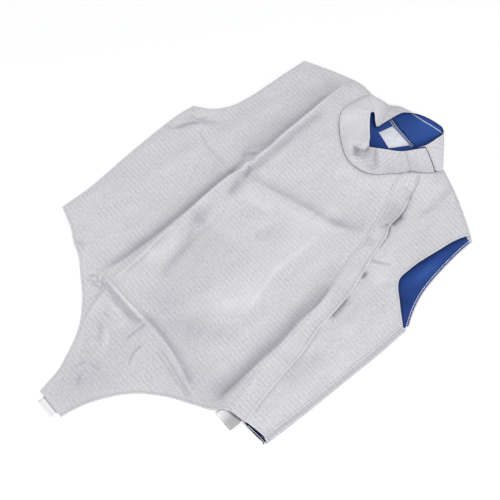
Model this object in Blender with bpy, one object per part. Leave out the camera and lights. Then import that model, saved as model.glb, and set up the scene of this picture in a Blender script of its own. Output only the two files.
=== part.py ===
"""A sleeveless fencing vest of ribbed silver cloth with a blue lining, laid flat on its back.

The frame is the garment's own: +X to the wearer's left, +Y towards the collar, +Z up, with the
origin on the centre line of the flat underside. Sizes are in millimetres until a mesh is written.
Every panel is a thin closed wall: an outline, a height for each of its points, and a thickness.
"""

import math

import bpy
import numpy as np
from mathutils import Vector
from mathutils.geometry import delaunay_2d_cdt

MM = 0.001

# Walls and clearances
BACK_WALL = 1.2
LINING_WALL = 1.0
FRONT_WALL = 1.5
COLLAR_WALL = 1.2
SEAM_GAP = 0.3

# Heights of the layers above the surface that the vest lies on
LINING_TOP = BACK_WALL + SEAM_GAP + LINING_WALL
FRONT_LOW = LINING_TOP + SEAM_GAP + FRONT_WALL + 0.6
LEFT_FRONT_LOW = 6.2
SEWN_EDGE = BACK_WALL + SEAM_GAP + FRONT_WALL
SIDE_FOLD_RADIUS = 4.8
SEAM_ON_TOP = 2 * SIDE_FOLD_RADIUS
FOLD_STEPS = 4

# The collar's lining starts this far inside the collar's outer face
LINING_DEPTH = COLLAR_WALL + 2 * SEAM_GAP

# How far the lining stays inside the silver cloth: at a free edge, along the side and at the shoulders
LINING_SETBACK = 1.8
LINING_SETBACK_SIDE = 11.0
LINING_SETBACK_SHOULDER = 7.0

# Spacing of the points in the panels
OUTLINE_STEP = 16.0
PANEL_STEP = 22.0
EDGE_ROW = 11.0
LINE_CLEARANCE = 4.0
COLLAR_COLUMNS = 2
COLLAR_ROWS = 5
FINE_COLUMNS = 40
SWELL_UP = 0.35
COLLAR_CENTRE = (-15.0, 310.0)

# Outlines, columns x and y, from the hem upwards or from the neck outwards
RIGHT_SIDE = [(-257.5, -186), (-257.5, -125), (-265, -50), (-270, 15), (-272, 68), (-269, 101)]
RIGHT_ARMHOLE = [(-269, 101), (-249, 115), (-233, 135), (-223, 162), (-218, 210), (-216, 262), (-215, 307)]
RIGHT_SHOULDER = [(-215, 307), (-170, 329), (-120, 349), (-92, 351)]
LEFT_SHOULDER = [(98, 341), (135, 327.5), (162, 316), (192, 301), (223, 284)]
LEFT_BACK_ARMHOLE = [(223, 284), (224, 250), (229, 203), (236, 165), (248, 132), (266, 100)]
LEFT_FRONT_ARMHOLE = [(213, 289), (204, 262), (197, 210), (194, 172), (198, 143), (228, 117), (258, 95)]
LEFT_SIDE = [(266, 99), (268, 40), (267, -44), (266, -129), (263, -193)]
SIDE_SEAM = [(258.5, 95), (260, 40), (259.5, -44), (258, -119), (255, -189)]
BACK_NECK = [(-92, 351), (-70, 355), (-50, 355), (-24, 350), (0, 344), (30, 342), (72, 341), (98, 341)]
BACK_HEM = [(263, -193), (225, -196), (100, -190), (-120, -187), (-257.5, -186)]

# Crotch tab, columns y and half width, from its end upwards
CROTCH = [(-405, 21), (-383, 30), (-359, 36), (-338, 45), (-318, 55), (-300, 66), (-284, 79), (-269, 95),
          (-255, 112), (-243, 131), (-231, 150), (-219, 169)]
CROTCH_CENTRE = 2.0
HEM_RIGHT = [(-194, -210), (-218, -198), (-244, -190), (-257.5, -186)]
HEM_LEFT = [(178, -208), (189, -201)]

# Fly, columns x and y, from the neck down to the hem
FLY_SEAM = [(66, 284), (68, 261), (91, 212), (109, 160), (126, 92), (147, 15), (160, -60), (166, -110),
            (189, -200)]
FLY_EDGE = [(83, 299), (96, 266), (111, 227), (121, 190), (133, 160), (150, 112), (166, 55), (177, -10),
            (194, -71), (206, -141), (219, -194)]
PIT_Y = 97.0
HEM_Y = -191.0
LEFT_HEM = [(219, -193), (240, -191), (255, -189)]

# Crests of the largest folds, columns x, y and height; then how far the two flanks reach
RIGHT_RIDGE = [(-127, 325, 3.5), (-123, 254, 6), (-120, 150, 7), (-116, 115, 6), (-119, 29, 7.5),
               (-113, -32, 7), (-104, -120, 6), (-100, -205, 3.5)]
LEFT_RIDGE = [(84, 205, 1), (95, 142, 4.5), (119, 77, 5), (127, 24, 5.5), (134, -30, 5), (139, -100, 6),
              (155, -205, 4)]
CHEST_RIDGE = [(-98, 76, 1.5), (-80, 88, 3), (-14, 107, 3.5), (59, 131, 3.5), (92, 148, 2)]
WAIST_RIDGE = [(-96, -213, 2.5), (-25, -214, 2.5), (59, -216, 3), (130, -232, 1)]
FOLDS = [
    # crest, reach on its left, reach on its right, seen along its points
    (RIGHT_RIDGE, 75.0, 26.0),
    (LEFT_RIDGE[::-1], 13.0, 50.0),
    (CHEST_RIDGE, 9.0, 34.0),
    (WAIST_RIDGE, 10.0, 26.0),
]

# Collar, going round from the end of the tab past the throat: columns base x, y, top x, y, z and bulge
COLLAR_FRONT = [
    (94, 322, 67, 318, 61, 2),
    (81.5, 306, 58, 303, 61, 2),
    (68, 291, 48, 288, 59, 2),
    (59.5, 275, 39, 279, 58, 3),
    (49, 262, 28, 272, 56, 4),
    (37, 246, 16, 266, 51, 4),
    (21, 234, 4, 261, 44, 2),
    (3.5, 228, -8, 261, 35, 3),
    (-15.5, 227, -12, 268, 33, 5),
    (-35, 234, -16, 275, 32, 5),
    (-55, 246, -27, 285, 30, 5),
    (-75, 261, -41, 298, 29, 5),
    (-89, 278, -53, 311, 28, 2),
]
COLLAR_RIGHT = [
    (-89, 278, -53, 311, 28, 2),
    (-94, 294, -53, 314, 28, 3),
    (-95, 312, -52.5, 316.5, 27.5, 5),
    (-93, 330, -51, 318, 27, 8),
    (-86, 345, -46, 316, 26, 11),
    (-75, 353, -37, 309, 25, 14),
    (-61, 356, -28, 303, 25, 15),
    (-48, 355, -24, 314, 30, 15),
    (-36, 353, -17, 339, 40, 13),
]
COLLAR_BACK = [
    (-36, 353, -17, 339, 40, 13),
    (-22, 349, -12, 352, 39, 12),
    (-4, 344, 1, 366, 35, 7),
    (22, 338, 22, 375, 33, 1),
    (52, 338, 38, 378, 34, 1),
    (78, 338, 50, 379, 35, 2),
    (97, 338, 59, 371, 39, 2),
]
COLLAR_LEFT = [
    (97, 338, 59, 371, 39, 2),
    (98, 331, 61, 351, 46, 2),
    (91, 324, 61, 328, 52, 1),
    (80, 310.5, 54, 309, 53, 1),
]
TAB_SEAM_ROW = 2
RIGHT_FRONT_ROW = len(COLLAR_FRONT) - 1
SHOULDER_ROW = RIGHT_FRONT_ROW + 4
RIGHT_SIDE_ROW = RIGHT_FRONT_ROW + len(COLLAR_RIGHT) - 1
LEFT_FOLD_ROW = RIGHT_SIDE_ROW + len(COLLAR_BACK) - 1
LAST_ROW = LEFT_FOLD_ROW + len(COLLAR_LEFT) - 1

# Label and straps
LABEL_CORNERS = [(-19, 331), (27, 328), (22, 297), (-25, 308)]
LABEL_WALL = 1.0
STRAP_WALL = 1.0
HEM_STRAP_X = (178.0, 211.0)
HEM_STRAP_Y = (-219.0, -197.4)
HEM_STRAP_HEIGHT = 8.0
TAB_STRAP_X = (-14.0, 19.0)
TAB_STRAP_Y = (-414.0, -391.0)
TAB_STRAP_HEIGHT = 3.6
TAB_END_LIFT = 2 * STRAP_WALL + 2.2 * SEAM_GAP


def smoothstep(low, high, value):
    t = np.clip((np.asarray(value, float) - low) / (high - low), 0.0, 1.0)
    return t * t * (3.0 - 2.0 * t)


def resample(points, step):
    """Points every step or so along a smooth curve through a short table of points."""
    table = np.array(points, float)
    knots = np.vstack([2 * table[0] - table[1], table, 2 * table[-1] - table[-2]])
    out = []
    for i in range(1, len(knots) - 2):
        p0, p1, p2, p3 = knots[i - 1:i + 3]
        count = max(1, round(float(np.linalg.norm((p2 - p1)[:2])) / step))
        for t in np.arange(count) / count:
            out.append(0.5 * (2 * p1 + (p2 - p0) * t + (2 * p0 - 5 * p1 + 4 * p2 - p3) * t ** 2
                              + (3 * p1 - p0 - 3 * p2 + p3) * t ** 3))
    out.append(table[-1])
    return np.array(out)


def nearest_on_line(line, x, y):
    """Distance of points to a polyline, which side they lie on, and the polyline's third column there."""
    best = np.full(np.shape(x), 1e9)
    side = np.zeros(np.shape(x))
    value = np.zeros(np.shape(x))
    for a, b in zip(line[:-1], line[1:]):
        run = b[:2] - a[:2]
        t = np.clip(((x - a[0]) * run[0] + (y - a[1]) * run[1]) / (run @ run), 0.0, 1.0)
        away_x = x - a[0] - t * run[0]
        away_y = y - a[1] - t * run[1]
        distance = np.hypot(away_x, away_y)
        closer = distance < best
        best = np.where(closer, distance, best)
        side = np.where(closer, np.sign(run[0] * away_y - run[1] * away_x), side)
        if len(a) > 2:
            value = np.where(closer, a[2] + t * (b[2] - a[2]), value)
    return best, side, value


def x_at(line, y):
    """x of a line that runs up or down the vest, at height y on the cloth."""
    table = resample(line, 8.0)
    order = np.argsort(table[:, 1])
    return np.interp(y, table[order, 1], table[order, 0])


def fold_height(x, y):
    """What the folds add to the flat front: a sharp crest whose two flanks die away at their own rates."""
    total = np.zeros(np.shape(x))
    for crest, reach_left, reach_right in FOLDS:
        line = resample(crest, 15.0)
        distance, side, height = nearest_on_line(line, x, y)
        reach = np.where(side > 0, reach_left, reach_right)
        total = total + (height * np.exp(-distance / reach)) ** 3
    return np.cbrt(total)


def neck_lift(x, y):
    """The collar's stiff foot props the cloth up round the throat."""
    seam = np.array([row[:2] for row in COLLAR_FRONT], float)
    distance, _, _ = nearest_on_line(seam, x, y)
    return 7.0 * np.exp(-(distance / 34.0) ** 2) * (1.0 - 0.75 * smoothstep(285, 345, y))


def rounded(fraction):
    """A quarter circle: 0 at an edge, 1 where the cloth has come to its full height."""
    return np.sqrt(1.0 - (1.0 - np.clip(fraction, 0, 1)) ** 2)


def left_top(x, y):
    """Top of the narrow left front, which swells towards the folded side."""
    swell = (SEAM_ON_TOP - LEFT_FRONT_LOW) * smoothstep(150, 235, x) * (1.0 - smoothstep(150, 290, y))
    belly = 2.0 * np.exp(-((x - 222) / 26.0) ** 2 - ((y + 30) / 120.0) ** 2)
    height = LEFT_FRONT_LOW + swell + belly + neck_lift(x, y)
    shoulder, _, _ = nearest_on_line(resample(LEFT_SHOULDER, 20.0), x, y)
    return SEWN_EDGE + (height - SEWN_EDGE) * rounded(shoulder / 14.0)


def over_hem(x, y):
    """1 over the back panel, 0 where the crotch tab lies on the surface below the back's hem."""
    return smoothstep(-236, -200, y)


def front_top(x, y):
    """Top of the wide front, with its folds, its sewn edges and the crotch tab."""
    height = FRONT_LOW + fold_height(x, y) + neck_lift(x, y)
    seam_x = x_at(FLY_SEAM, y)
    near_fly = smoothstep(-50, -8, x - seam_x)
    on_fly = left_top(x, y) + FRONT_WALL + SEAM_GAP
    height = height + (on_fly - height) * near_fly
    sewn = [resample(RIGHT_SIDE, 20.0), resample(RIGHT_SHOULDER, 20.0)]
    edge = np.minimum(*[nearest_on_line(line, x, y)[0] for line in sewn])
    height = SEWN_EDGE + (height - SEWN_EDGE) * rounded(edge / 26.0)
    low = FRONT_WALL + 0.8 * fold_height(x, y) * smoothstep(-300, -225, y)
    low = low + TAB_END_LIFT * (1.0 - smoothstep(-386, -358, y))
    return low + (height - low) * over_hem(x, y)


def flap_lift(across, y):
    """How far the fly's free edge curls up, across from 0 at its seam to 1 at its edge."""
    curl = 7.0 * np.exp(-((y - 205) / 38.0) ** 2) + 3.0 * np.exp(-((y - 112) / 16.0) ** 2)
    curl = curl + 2.5 * np.exp(-((y - 60) / 18.0) ** 2) + 1.2 * np.exp(-((y + 60) / 50.0) ** 2)
    return curl * across ** 2


def inside(polygon, x, y):
    hit = np.zeros(np.shape(x), bool)
    for a, b in zip(polygon, np.roll(polygon, -1, axis=0)):
        crosses = (a[1] > y) != (b[1] > y)
        with np.errstate(divide="ignore", invalid="ignore"):
            cut = (b[0] - a[0]) * (y - a[1]) / (b[1] - a[1]) + a[0]
        hit ^= crosses & (x < cut)
    return hit


def inward_normals(outline):
    """The direction at each corner of an outline that halves its angle on the inner side."""
    edges = np.roll(outline, -1, axis=0) - outline
    edges /= np.linalg.norm(edges, axis=1)[:, None]
    ahead = edges + np.roll(edges, 1, axis=0)
    return np.stack([-ahead[:, 1], ahead[:, 0]], axis=1) / np.linalg.norm(ahead, axis=1)[:, None]


def shrunk(outline, margins):
    """An outline moved inwards, each point by its own margin."""
    return outline + inward_normals(outline) * margins[:, None]


def flat_mesh(outline, step, edge_row=None, lines=()):
    """Triangles that fill an outline, on a staggered grid, with a row beside the edge and on given lines."""
    closed = np.vstack([outline, outline[:1]])
    xs = np.arange(outline[:, 0].min(), outline[:, 0].max(), step)
    ys = np.arange(outline[:, 1].min(), outline[:, 1].max(), step * 0.866)
    grid = np.array([(x + (j % 2) * step / 2, y) for j, y in enumerate(ys) for x in xs])
    extra = []
    if edge_row:
        row = outline + inward_normals(outline) * edge_row
        clear = nearest_on_line(closed, row[:, 0], row[:, 1])[0] > edge_row * 0.93
        for line in lines:
            clear &= nearest_on_line(line, row[:, 0], row[:, 1])[0] > LINE_CLEARANCE
        extra.append(row[clear & inside(outline, row[:, 0], row[:, 1])])
    for line in lines:
        clear = nearest_on_line(closed, line[:, 0], line[:, 1])[0] > LINE_CLEARANCE
        extra.append(line[clear, :2])
    margin = step * 0.45 + (edge_row or 0.0)
    keep = inside(outline, grid[:, 0], grid[:, 1])
    keep &= nearest_on_line(closed, grid[:, 0], grid[:, 1])[0] > margin
    for line in lines:
        keep &= nearest_on_line(line, grid[:, 0], grid[:, 1])[0] > step * 0.45
    points = np.vstack([outline, *extra, grid[keep]])
    corners = [Vector(p) for p in points]
    edges = [(i, (i + 1) % len(outline)) for i in range(len(outline))]
    start = len(outline) + (len(extra[0]) if edge_row else 0)
    for part in extra[(1 if edge_row else 0):]:
        edges += [(start + i, start + i + 1) for i in range(len(part) - 1)]
        start += len(part)
    found = delaunay_2d_cdt(corners, edges, [list(range(len(outline)))], 1, 1e-4)
    return np.array([tuple(v) for v in found[0]]), [tuple(f) for f in found[2]]


def write_solid(name, upper, lower, faces, cloth):
    """A closed wall between two like surfaces, given as points in millimetres; faces see +Z from above."""
    count = len(upper)
    edge_use = {}
    for face in faces:
        for a, b in zip(face, face[1:] + face[:1]):
            edge_use[(a, b)] = True
    rim = [(a, b) for a, b in edge_use if (b, a) not in edge_use]
    solid = [list(face) for face in faces]
    solid += [[i + count for i in reversed(face)] for face in faces]
    for a, b in rim:
        solid.append([b, a, a + count])
        solid.append([b, a + count, b + count])
    mesh = bpy.data.meshes.new(name)
    mesh.from_pydata((np.vstack([upper, lower]) * MM).tolist(), [], solid)
    mesh.validate()
    mesh.materials.append(cloth)
    mesh.shade_smooth()
    mesh.set_sharp_from_angle(angle=math.radians(50))
    obj = bpy.data.objects.new(name, mesh)
    bpy.context.scene.collection.objects.link(obj)
    return obj


def panel(name, outline, top, wall, cloth, step=PANEL_STEP, edge_row=None, lines=(), place=None):
    """A cloth panel: its outline filled with triangles, lifted to its top and given its wall below."""
    flat, faces = flat_mesh(outline, step, edge_row, lines)
    x, y = flat.T
    if place:
        upper, lower = place(x, y)
    else:
        z = top(x, y)
        upper = np.stack([x, y, z], axis=1)
        lower = np.stack([x, y, z - wall], axis=1)
    return write_solid(name, upper, lower, faces, cloth)


def grid_solid(name, upper, lower, cloth):
    """A closed wall from two grids of points, rows by columns."""
    rows, columns = upper.shape[:2]
    faces = []
    for i in range(rows - 1):
        for j in range(columns - 1):
            a = i * columns + j
            faces.append((a, a + 1, a + columns + 1))
            faces.append((a, a + columns + 1, a + columns))
    return write_solid(name, upper.reshape(-1, 3), lower.reshape(-1, 3), faces, cloth)


def join(*parts):
    """One closed outline from stretches that follow each other, without doubled corners."""
    points = [parts[0][0]]
    for part in parts:
        for p in part:
            if np.hypot(*(np.array(p[:2]) - points[-1][:2])) > 3.0:
                points.append(np.array(p[:2], float))
    if np.hypot(*(np.array(points[0][:2]) - points[-1][:2])) < 3.0:
        points.pop()
    outline = np.array([p[:2] for p in points])
    area = np.sum(outline[:, 0] * np.roll(outline[:, 1], -1) - np.roll(outline[:, 0], -1) * outline[:, 1])
    return outline if area > 0 else outline[::-1]


def crotch_edge(side):
    """One edge of the crotch tab, from its end upwards."""
    return [(CROTCH_CENTRE * smoothstep(-330, -400, y) + side * half, y) for y, half in CROTCH]


def inset(points, dx, dy=0.0):
    return np.array([(p[0] + dx, p[1] + dy) for p in points])


def material(name, colour, roughness, metallic):
    made = bpy.data.materials.new(name)
    made.use_nodes = True
    shader = made.node_tree.nodes["Principled BSDF"]
    shader.inputs["Base Color"].default_value = (*colour, 1.0)
    shader.inputs["Roughness"].default_value = roughness
    shader.inputs["Metallic"].default_value = metallic
    return made


def side_wrap(x, y):
    """The back's cloth turns up round the wearer's left side and comes to lie on top."""
    turn_x = x_at(LEFT_SIDE, y) - SIDE_FOLD_RADIUS
    mean_radius = SIDE_FOLD_RADIUS - BACK_WALL / 2
    along = np.maximum(x - turn_x, 0.0)
    angle = np.minimum(along / mean_radius, math.pi)
    flat_run = np.maximum(along - mean_radius * math.pi, 0.0)
    surfaces = []
    for radius in (SIDE_FOLD_RADIUS - BACK_WALL, SIDE_FOLD_RADIUS):
        px = np.minimum(x, turn_x) + radius * np.sin(angle) - flat_run
        pz = SIDE_FOLD_RADIUS - radius * np.cos(angle)
        surfaces.append(np.stack([px, y, pz], axis=1))
    return surfaces


def fold_row(step, y):
    """x in the flat cut, after step of the FOLD_STEPS that the side fold turns through."""
    mean_radius = SIDE_FOLD_RADIUS - BACK_WALL / 2
    return x_at(LEFT_SIDE, y) - SIDE_FOLD_RADIUS + mean_radius * math.pi * step / FOLD_STEPS


def wrapped_side():
    """The back's left edge in its flat cut: across the fold at the pit, down the seam, back at the hem."""
    steps = range(FOLD_STEPS)
    pit = [(fold_row(k, PIT_Y), PIT_Y - 0.6 * k) for k in steps]
    hem = [(fold_row(k, HEM_Y), HEM_Y + 0.6 * k) for k in reversed(steps)]
    seam = []
    for y in np.linspace(PIT_Y - 3, HEM_Y + 3, 14):
        turn_x = x_at(LEFT_SIDE, y) - SIDE_FOLD_RADIUS
        seam.append((fold_row(FOLD_STEPS, y) + turn_x - x_at(SIDE_SEAM, y) - SEAM_GAP, y))
    return pit + seam + hem


def make_back(cloth):
    inner = 0.6
    outline = join(
        inset(resample(RIGHT_SIDE, OUTLINE_STEP), inner),
        inset(resample(RIGHT_ARMHOLE, OUTLINE_STEP), inner + 1),
        inset(RIGHT_SHOULDER, 0, -inner), resample(BACK_NECK, OUTLINE_STEP), LEFT_SHOULDER,
        resample(LEFT_BACK_ARMHOLE, OUTLINE_STEP)[:-1], wrapped_side(), resample(BACK_HEM[1:], 60.0))
    turns = [np.array([(fold_row(k, y), y) for y in np.linspace(PIT_Y - 8, HEM_Y + 8, 13)])
             for k in range(FOLD_STEPS + 1)]
    return panel("back", outline, None, BACK_WALL, cloth, step=120.0, lines=turns, place=side_wrap)


def make_back_lining(cloth):
    flat_side = inset(resample(LEFT_SIDE, 40.0), 2.0 - SIDE_FOLD_RADIUS)
    outline = join(
        resample(RIGHT_SIDE, OUTLINE_STEP), resample(RIGHT_ARMHOLE, OUTLINE_STEP), RIGHT_SHOULDER,
        resample(BACK_NECK, OUTLINE_STEP), LEFT_SHOULDER, resample(LEFT_BACK_ARMHOLE, OUTLINE_STEP)[:-1],
        flat_side, resample(BACK_HEM, 60.0))
    x, y = outline.T
    setback = np.full(x.shape, LINING_SETBACK)
    setback[(x < -214) & (y < 102)] = LINING_SETBACK_SIDE
    setback[(np.abs(x) > 90) & (y > 283)] = LINING_SETBACK_SHOULDER
    setback[(x < -200) & (y > 250)] += 5.0
    level = lambda x, y: np.full(x.shape, LINING_TOP)
    return panel("back_lining", shrunk(outline, setback), level, LINING_WALL, cloth, step=120.0)


def throat_seam(inward):
    """The neck edge of the front, just inside the collar's foot."""
    feet = collar_rows()[TAB_SEAM_ROW:SHOULDER_ROW + 1, :2]
    base = resample(feet, 12.0)
    towards = np.array(COLLAR_CENTRE) - base
    return base + inward * towards / np.linalg.norm(towards, axis=1)[:, None]


def make_front_panel(cloth):
    seam = resample(FLY_SEAM, OUTLINE_STEP)
    outline = join(
        resample(crotch_edge(-1) + HEM_RIGHT, OUTLINE_STEP),
        resample(RIGHT_SIDE, OUTLINE_STEP), resample(RIGHT_ARMHOLE, OUTLINE_STEP),
        resample(RIGHT_SHOULDER, OUTLINE_STEP), throat_seam(3.0)[::-1], seam,
        resample(HEM_LEFT[::-1] + crotch_edge(1)[::-1], OUTLINE_STEP))
    crests = [resample(fold[0], PANEL_STEP)[:, :2] for fold in FOLDS]
    return panel("front_panel", outline, front_top, FRONT_WALL, cloth, edge_row=EDGE_ROW, lines=crests)


def make_left_front(cloth):
    under = inset(resample(FLY_SEAM[1:], OUTLINE_STEP), -6.0, 3.0)
    neck = [(row[0] - 3, row[1] + 2) for row in COLLAR_FRONT[TAB_SEAM_ROW::-1]]
    outline = join(
        under[::-1], inset(neck, 1.5, -1.0), [(96, 337)], resample(LEFT_SHOULDER, OUTLINE_STEP),
        resample(LEFT_FRONT_ARMHOLE, OUTLINE_STEP), resample(SIDE_SEAM, OUTLINE_STEP), LEFT_HEM[::-1],
        [(200, -193)])
    return panel("left_front", outline, left_top, FRONT_WALL, cloth, edge_row=EDGE_ROW)


def make_fly_flap(cloth):
    seam = resample(FLY_SEAM, OUTLINE_STEP)
    edge = resample(FLY_EDGE, 6.0)
    level = np.linspace(edge[0, 1], edge[-1, 1], len(seam))
    edge = np.column_stack([np.interp(-level, -edge[:, 1], edge[:, 0]), level])
    seam = seam + np.array([2 * SEAM_GAP, 0.0])
    across = np.array([0.0, 0.35, 0.7, 1.0])
    flat = seam[:, None, :] + (edge - seam)[:, None, :] * across[None, :, None]
    x, y = flat[..., 0], flat[..., 1]
    z = left_top(x, y) + SEAM_GAP + FRONT_WALL + flap_lift(across[None, :], y)
    upper = np.stack([x, y, z], axis=2)
    lower = upper - np.array([0.0, 0.0, FRONT_WALL])
    return grid_solid("fly_flap", upper[::-1], lower[::-1], cloth)


def collar_rows():
    """The collar's stations all round, without the doubled ones where its pieces meet."""
    return np.array(COLLAR_FRONT + COLLAR_RIGHT[1:] + COLLAR_BACK[1:] + COLLAR_LEFT[1:], float)


def seat_height(x, y, row):
    """Height of what the collar's foot stands on."""
    if row < TAB_SEAM_ROW or row >= LEFT_FOLD_ROW:
        return float(left_top(x, y))
    if row <= SHOULDER_ROW:
        return float(front_top(x, y))
    return LINING_TOP


def spline(table, at):
    """Rows of a table read at fractional row numbers, on a smooth curve through all of them."""
    knots = np.vstack([2 * table[0] - table[1], table, 2 * table[-1] - table[-2]])
    i = np.minimum(at.astype(int), len(table) - 2)
    t = (at - i)[:, None]
    p0, p1, p2, p3 = (knots[i + k] for k in range(4))
    return 0.5 * (2 * p1 + (p2 - p0) * t + (2 * p0 - 5 * p1 + 4 * p2 - p3) * t ** 2
                  + (3 * p1 - p0 - 3 * p2 + p3) * t ** 3)


def unit(vectors):
    return vectors / np.linalg.norm(vectors, axis=1)[:, None]


def blurred(directions, width):
    """Directions along a line, each turned towards the mean of its neighbours."""
    padded = np.pad(directions, ((width, width), (0, 0)), mode="edge")
    weights = np.hanning(2 * width + 3)[1:-1]
    mixed = [np.convolve(column, weights / weights.sum(), mode="valid") for column in padded.T]
    return unit(np.stack(mixed, axis=1))


def collar_face(up, foot_z):
    """The collar's outer face and its normals, at heights from 0 at the foot to 1, on fine columns."""
    rows = collar_rows()
    table = np.column_stack([rows[:, :2], foot_z, rows[:, 2:]])
    here = spline(table, np.linspace(0, LAST_ROW, FINE_COLUMNS * LAST_ROW + 1))
    foot, head = here[:, :3], here[:, 3:6]
    away = unit(foot[:, :2] - np.array(COLLAR_CENTRE))
    swell = np.column_stack([away, np.full(len(away), SWELL_UP)]) * here[:, 6:]
    up = np.array(up)[:, None, None]
    face = foot + (head - foot) * up + swell * 4 * up * (1 - up)
    rise = head - foot + swell * 4 * (1 - 2 * up)
    normals = np.cross(rise, np.gradient(face, axis=1))
    return face, np.stack([blurred(unit(line), FINE_COLUMNS) for line in normals])


def foot_heights():
    """Height of the outer face's foot at each row, so that the wall and lining clear what they stand on."""
    seats = np.array([seat_height(row[0], row[1], i) for i, row in enumerate(collar_rows())])
    foot_z = seats
    for _ in range(3):
        _, normals = collar_face([0.0], foot_z)
        lean = np.maximum(normals[0, ::FINE_COLUMNS, 2], 0.0)
        foot_z = seats + 2 * SEAM_GAP + lean * (LINING_DEPTH + LINING_WALL)
    return foot_z


def collar_piece(name, first, last, depth, wall, cloth, trim=(0.012, 0.012), low=0.0):
    """A stretch of the collar's wall between two rows; depth is how far inside the outer face it starts."""
    face, normals = collar_face(np.linspace(low, 1.0, COLLAR_ROWS), foot_heights())
    at = np.arange(first, last + 0.1, 1.0 / COLLAR_COLUMNS)
    at[0] += trim[0]
    at[-1] -= trim[1]
    fine = np.linspace(0, LAST_ROW, face.shape[1])
    read = lambda line: np.stack([np.interp(at, fine, column) for column in line.T], axis=1)
    face = np.stack([read(line) for line in face])
    normals = np.stack([read(line) for line in normals])
    upper = face - normals * depth
    lower = face - normals * (depth + wall)
    return grid_solid(name, upper[:, ::-1], lower[:, ::-1], cloth)


def make_collar(silver, blue):
    pieces = [
        # name, first row, last row
        ("collar_tab", 0, TAB_SEAM_ROW),
        ("collar_front", TAB_SEAM_ROW, RIGHT_FRONT_ROW),
        ("collar_right", RIGHT_FRONT_ROW, RIGHT_SIDE_ROW),
        ("collar_back", RIGHT_SIDE_ROW, LEFT_FOLD_ROW),
        ("collar_left", LEFT_FOLD_ROW, LAST_ROW),
    ]
    for name, first, last in pieces:
        collar_piece(name, first, last, 0.0, COLLAR_WALL, silver)
    linings = [
        # name, first row, last row, trim at each end, where it starts above the foot
        ("collar_lining_front", 0, RIGHT_FRONT_ROW, (0.012, 0.3), 0.04),
        ("collar_lining_right", RIGHT_FRONT_ROW + 1, RIGHT_SIDE_ROW, (0.012, 0.012), 0.0),
        ("collar_lining_back", RIGHT_SIDE_ROW, LEFT_FOLD_ROW, (0.012, 0.012), 0.0),
        ("collar_lining_left", LEFT_FOLD_ROW, LAST_ROW, (0.012, 0.012), 0.04),
    ]
    for name, first, last, trim, low in linings:
        collar_piece(name, first, last, LINING_DEPTH, LINING_WALL, blue, trim, low)


def make_label(white):
    a, b, c, d = (np.array(p, float) for p in LABEL_CORNERS)
    s, t = np.meshgrid(np.linspace(0, 1, 4), np.linspace(0, 1, 3))
    s, t = s[..., None], t[..., None]
    flat = (a + (b - a) * s) * t + (d + (c - d) * s) * (1 - t)
    z = LINING_TOP + SEAM_GAP + LABEL_WALL + 1.5 * np.sin(np.pi * s[..., 0]) * (1 - t[..., 0])
    upper = np.dstack([flat, z])
    return grid_solid("neck_label", upper, upper - np.array([0, 0, LABEL_WALL]), white)


def strap(name, sides, path, cloth):
    """A band that follows a path in the YZ plane, as wide as its two sides are apart."""
    line = resample(path, 2.2)
    ahead = np.gradient(line, axis=0)
    across = np.stack([-ahead[:, 1], ahead[:, 0]], axis=1) / np.linalg.norm(ahead, axis=1)[:, None]
    grids = []
    for side in (0.5, -0.5):
        edge = line + across * side * STRAP_WALL
        edge[:, 1] = np.maximum(edge[:, 1], 0.0)
        grids.append(np.stack([np.column_stack([np.full(len(edge), x), edge]) for x in sides], axis=1))
    return grid_solid(name, grids[0], grids[1], cloth)


def make_straps(white):
    half = STRAP_WALL / 2
    far, near = HEM_STRAP_Y
    tall = HEM_STRAP_HEIGHT
    over = LINING_TOP + SEAM_GAP + half
    strap("hem_strap", HEM_STRAP_X, [
        (near + 8.0, over), (near, over + 0.6), (far + 7, tall - half - 0.5), (far + 3.5, tall - half),
        (far + half, tall * 0.55), (far + 2.5, 1.4), (far + 7, half), (near - 1.0, half)], white)
    far, near = TAB_STRAP_Y
    over = half + STRAP_WALL + SEAM_GAP
    strap("tab_strap", TAB_STRAP_X, [
        (near, over), (near - 9, over), (far + 6.5, over), (far + 2.4, TAB_STRAP_HEIGHT - half),
        (far + half, TAB_STRAP_HEIGHT / 2), (far + 2.4, half), (far + 6.5, half), (near, half)], white)


def main():
    for obj in list(bpy.data.objects):
        bpy.data.objects.remove(obj)
    silver = material("silver ribbed cloth", (0.62, 0.62, 0.65), 0.5, 0.25)
    blue = material("royal blue lining", (0.03, 0.09, 0.36), 0.75, 0.0)
    white = material("white webbing", (0.85, 0.85, 0.85), 0.7, 0.0)
    make_back(silver)
    make_back_lining(blue)
    make_front_panel(silver)
    make_left_front(silver)
    make_fly_flap(silver)
    make_collar(silver, blue)
    make_label(white)
    make_straps(white)


main()
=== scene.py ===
# %% [markdown]
# # Dressing a fencing vest that lies flat
# The vest is a sleeveless shell of ribbed silver cloth over a royal blue lining. It lies on its back with
# the front up, the collar half standing and the crotch tab stretched out. The CAD model gives the size and
# the place of each piece. This lesson makes the cloth that is seen: creases, hems, seams, ribs and thread.

# %% Load the fixed frame
import math

import bpy
import numpy as np
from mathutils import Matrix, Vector
from mathutils.geometry import delaunay_2d_cdt


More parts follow.
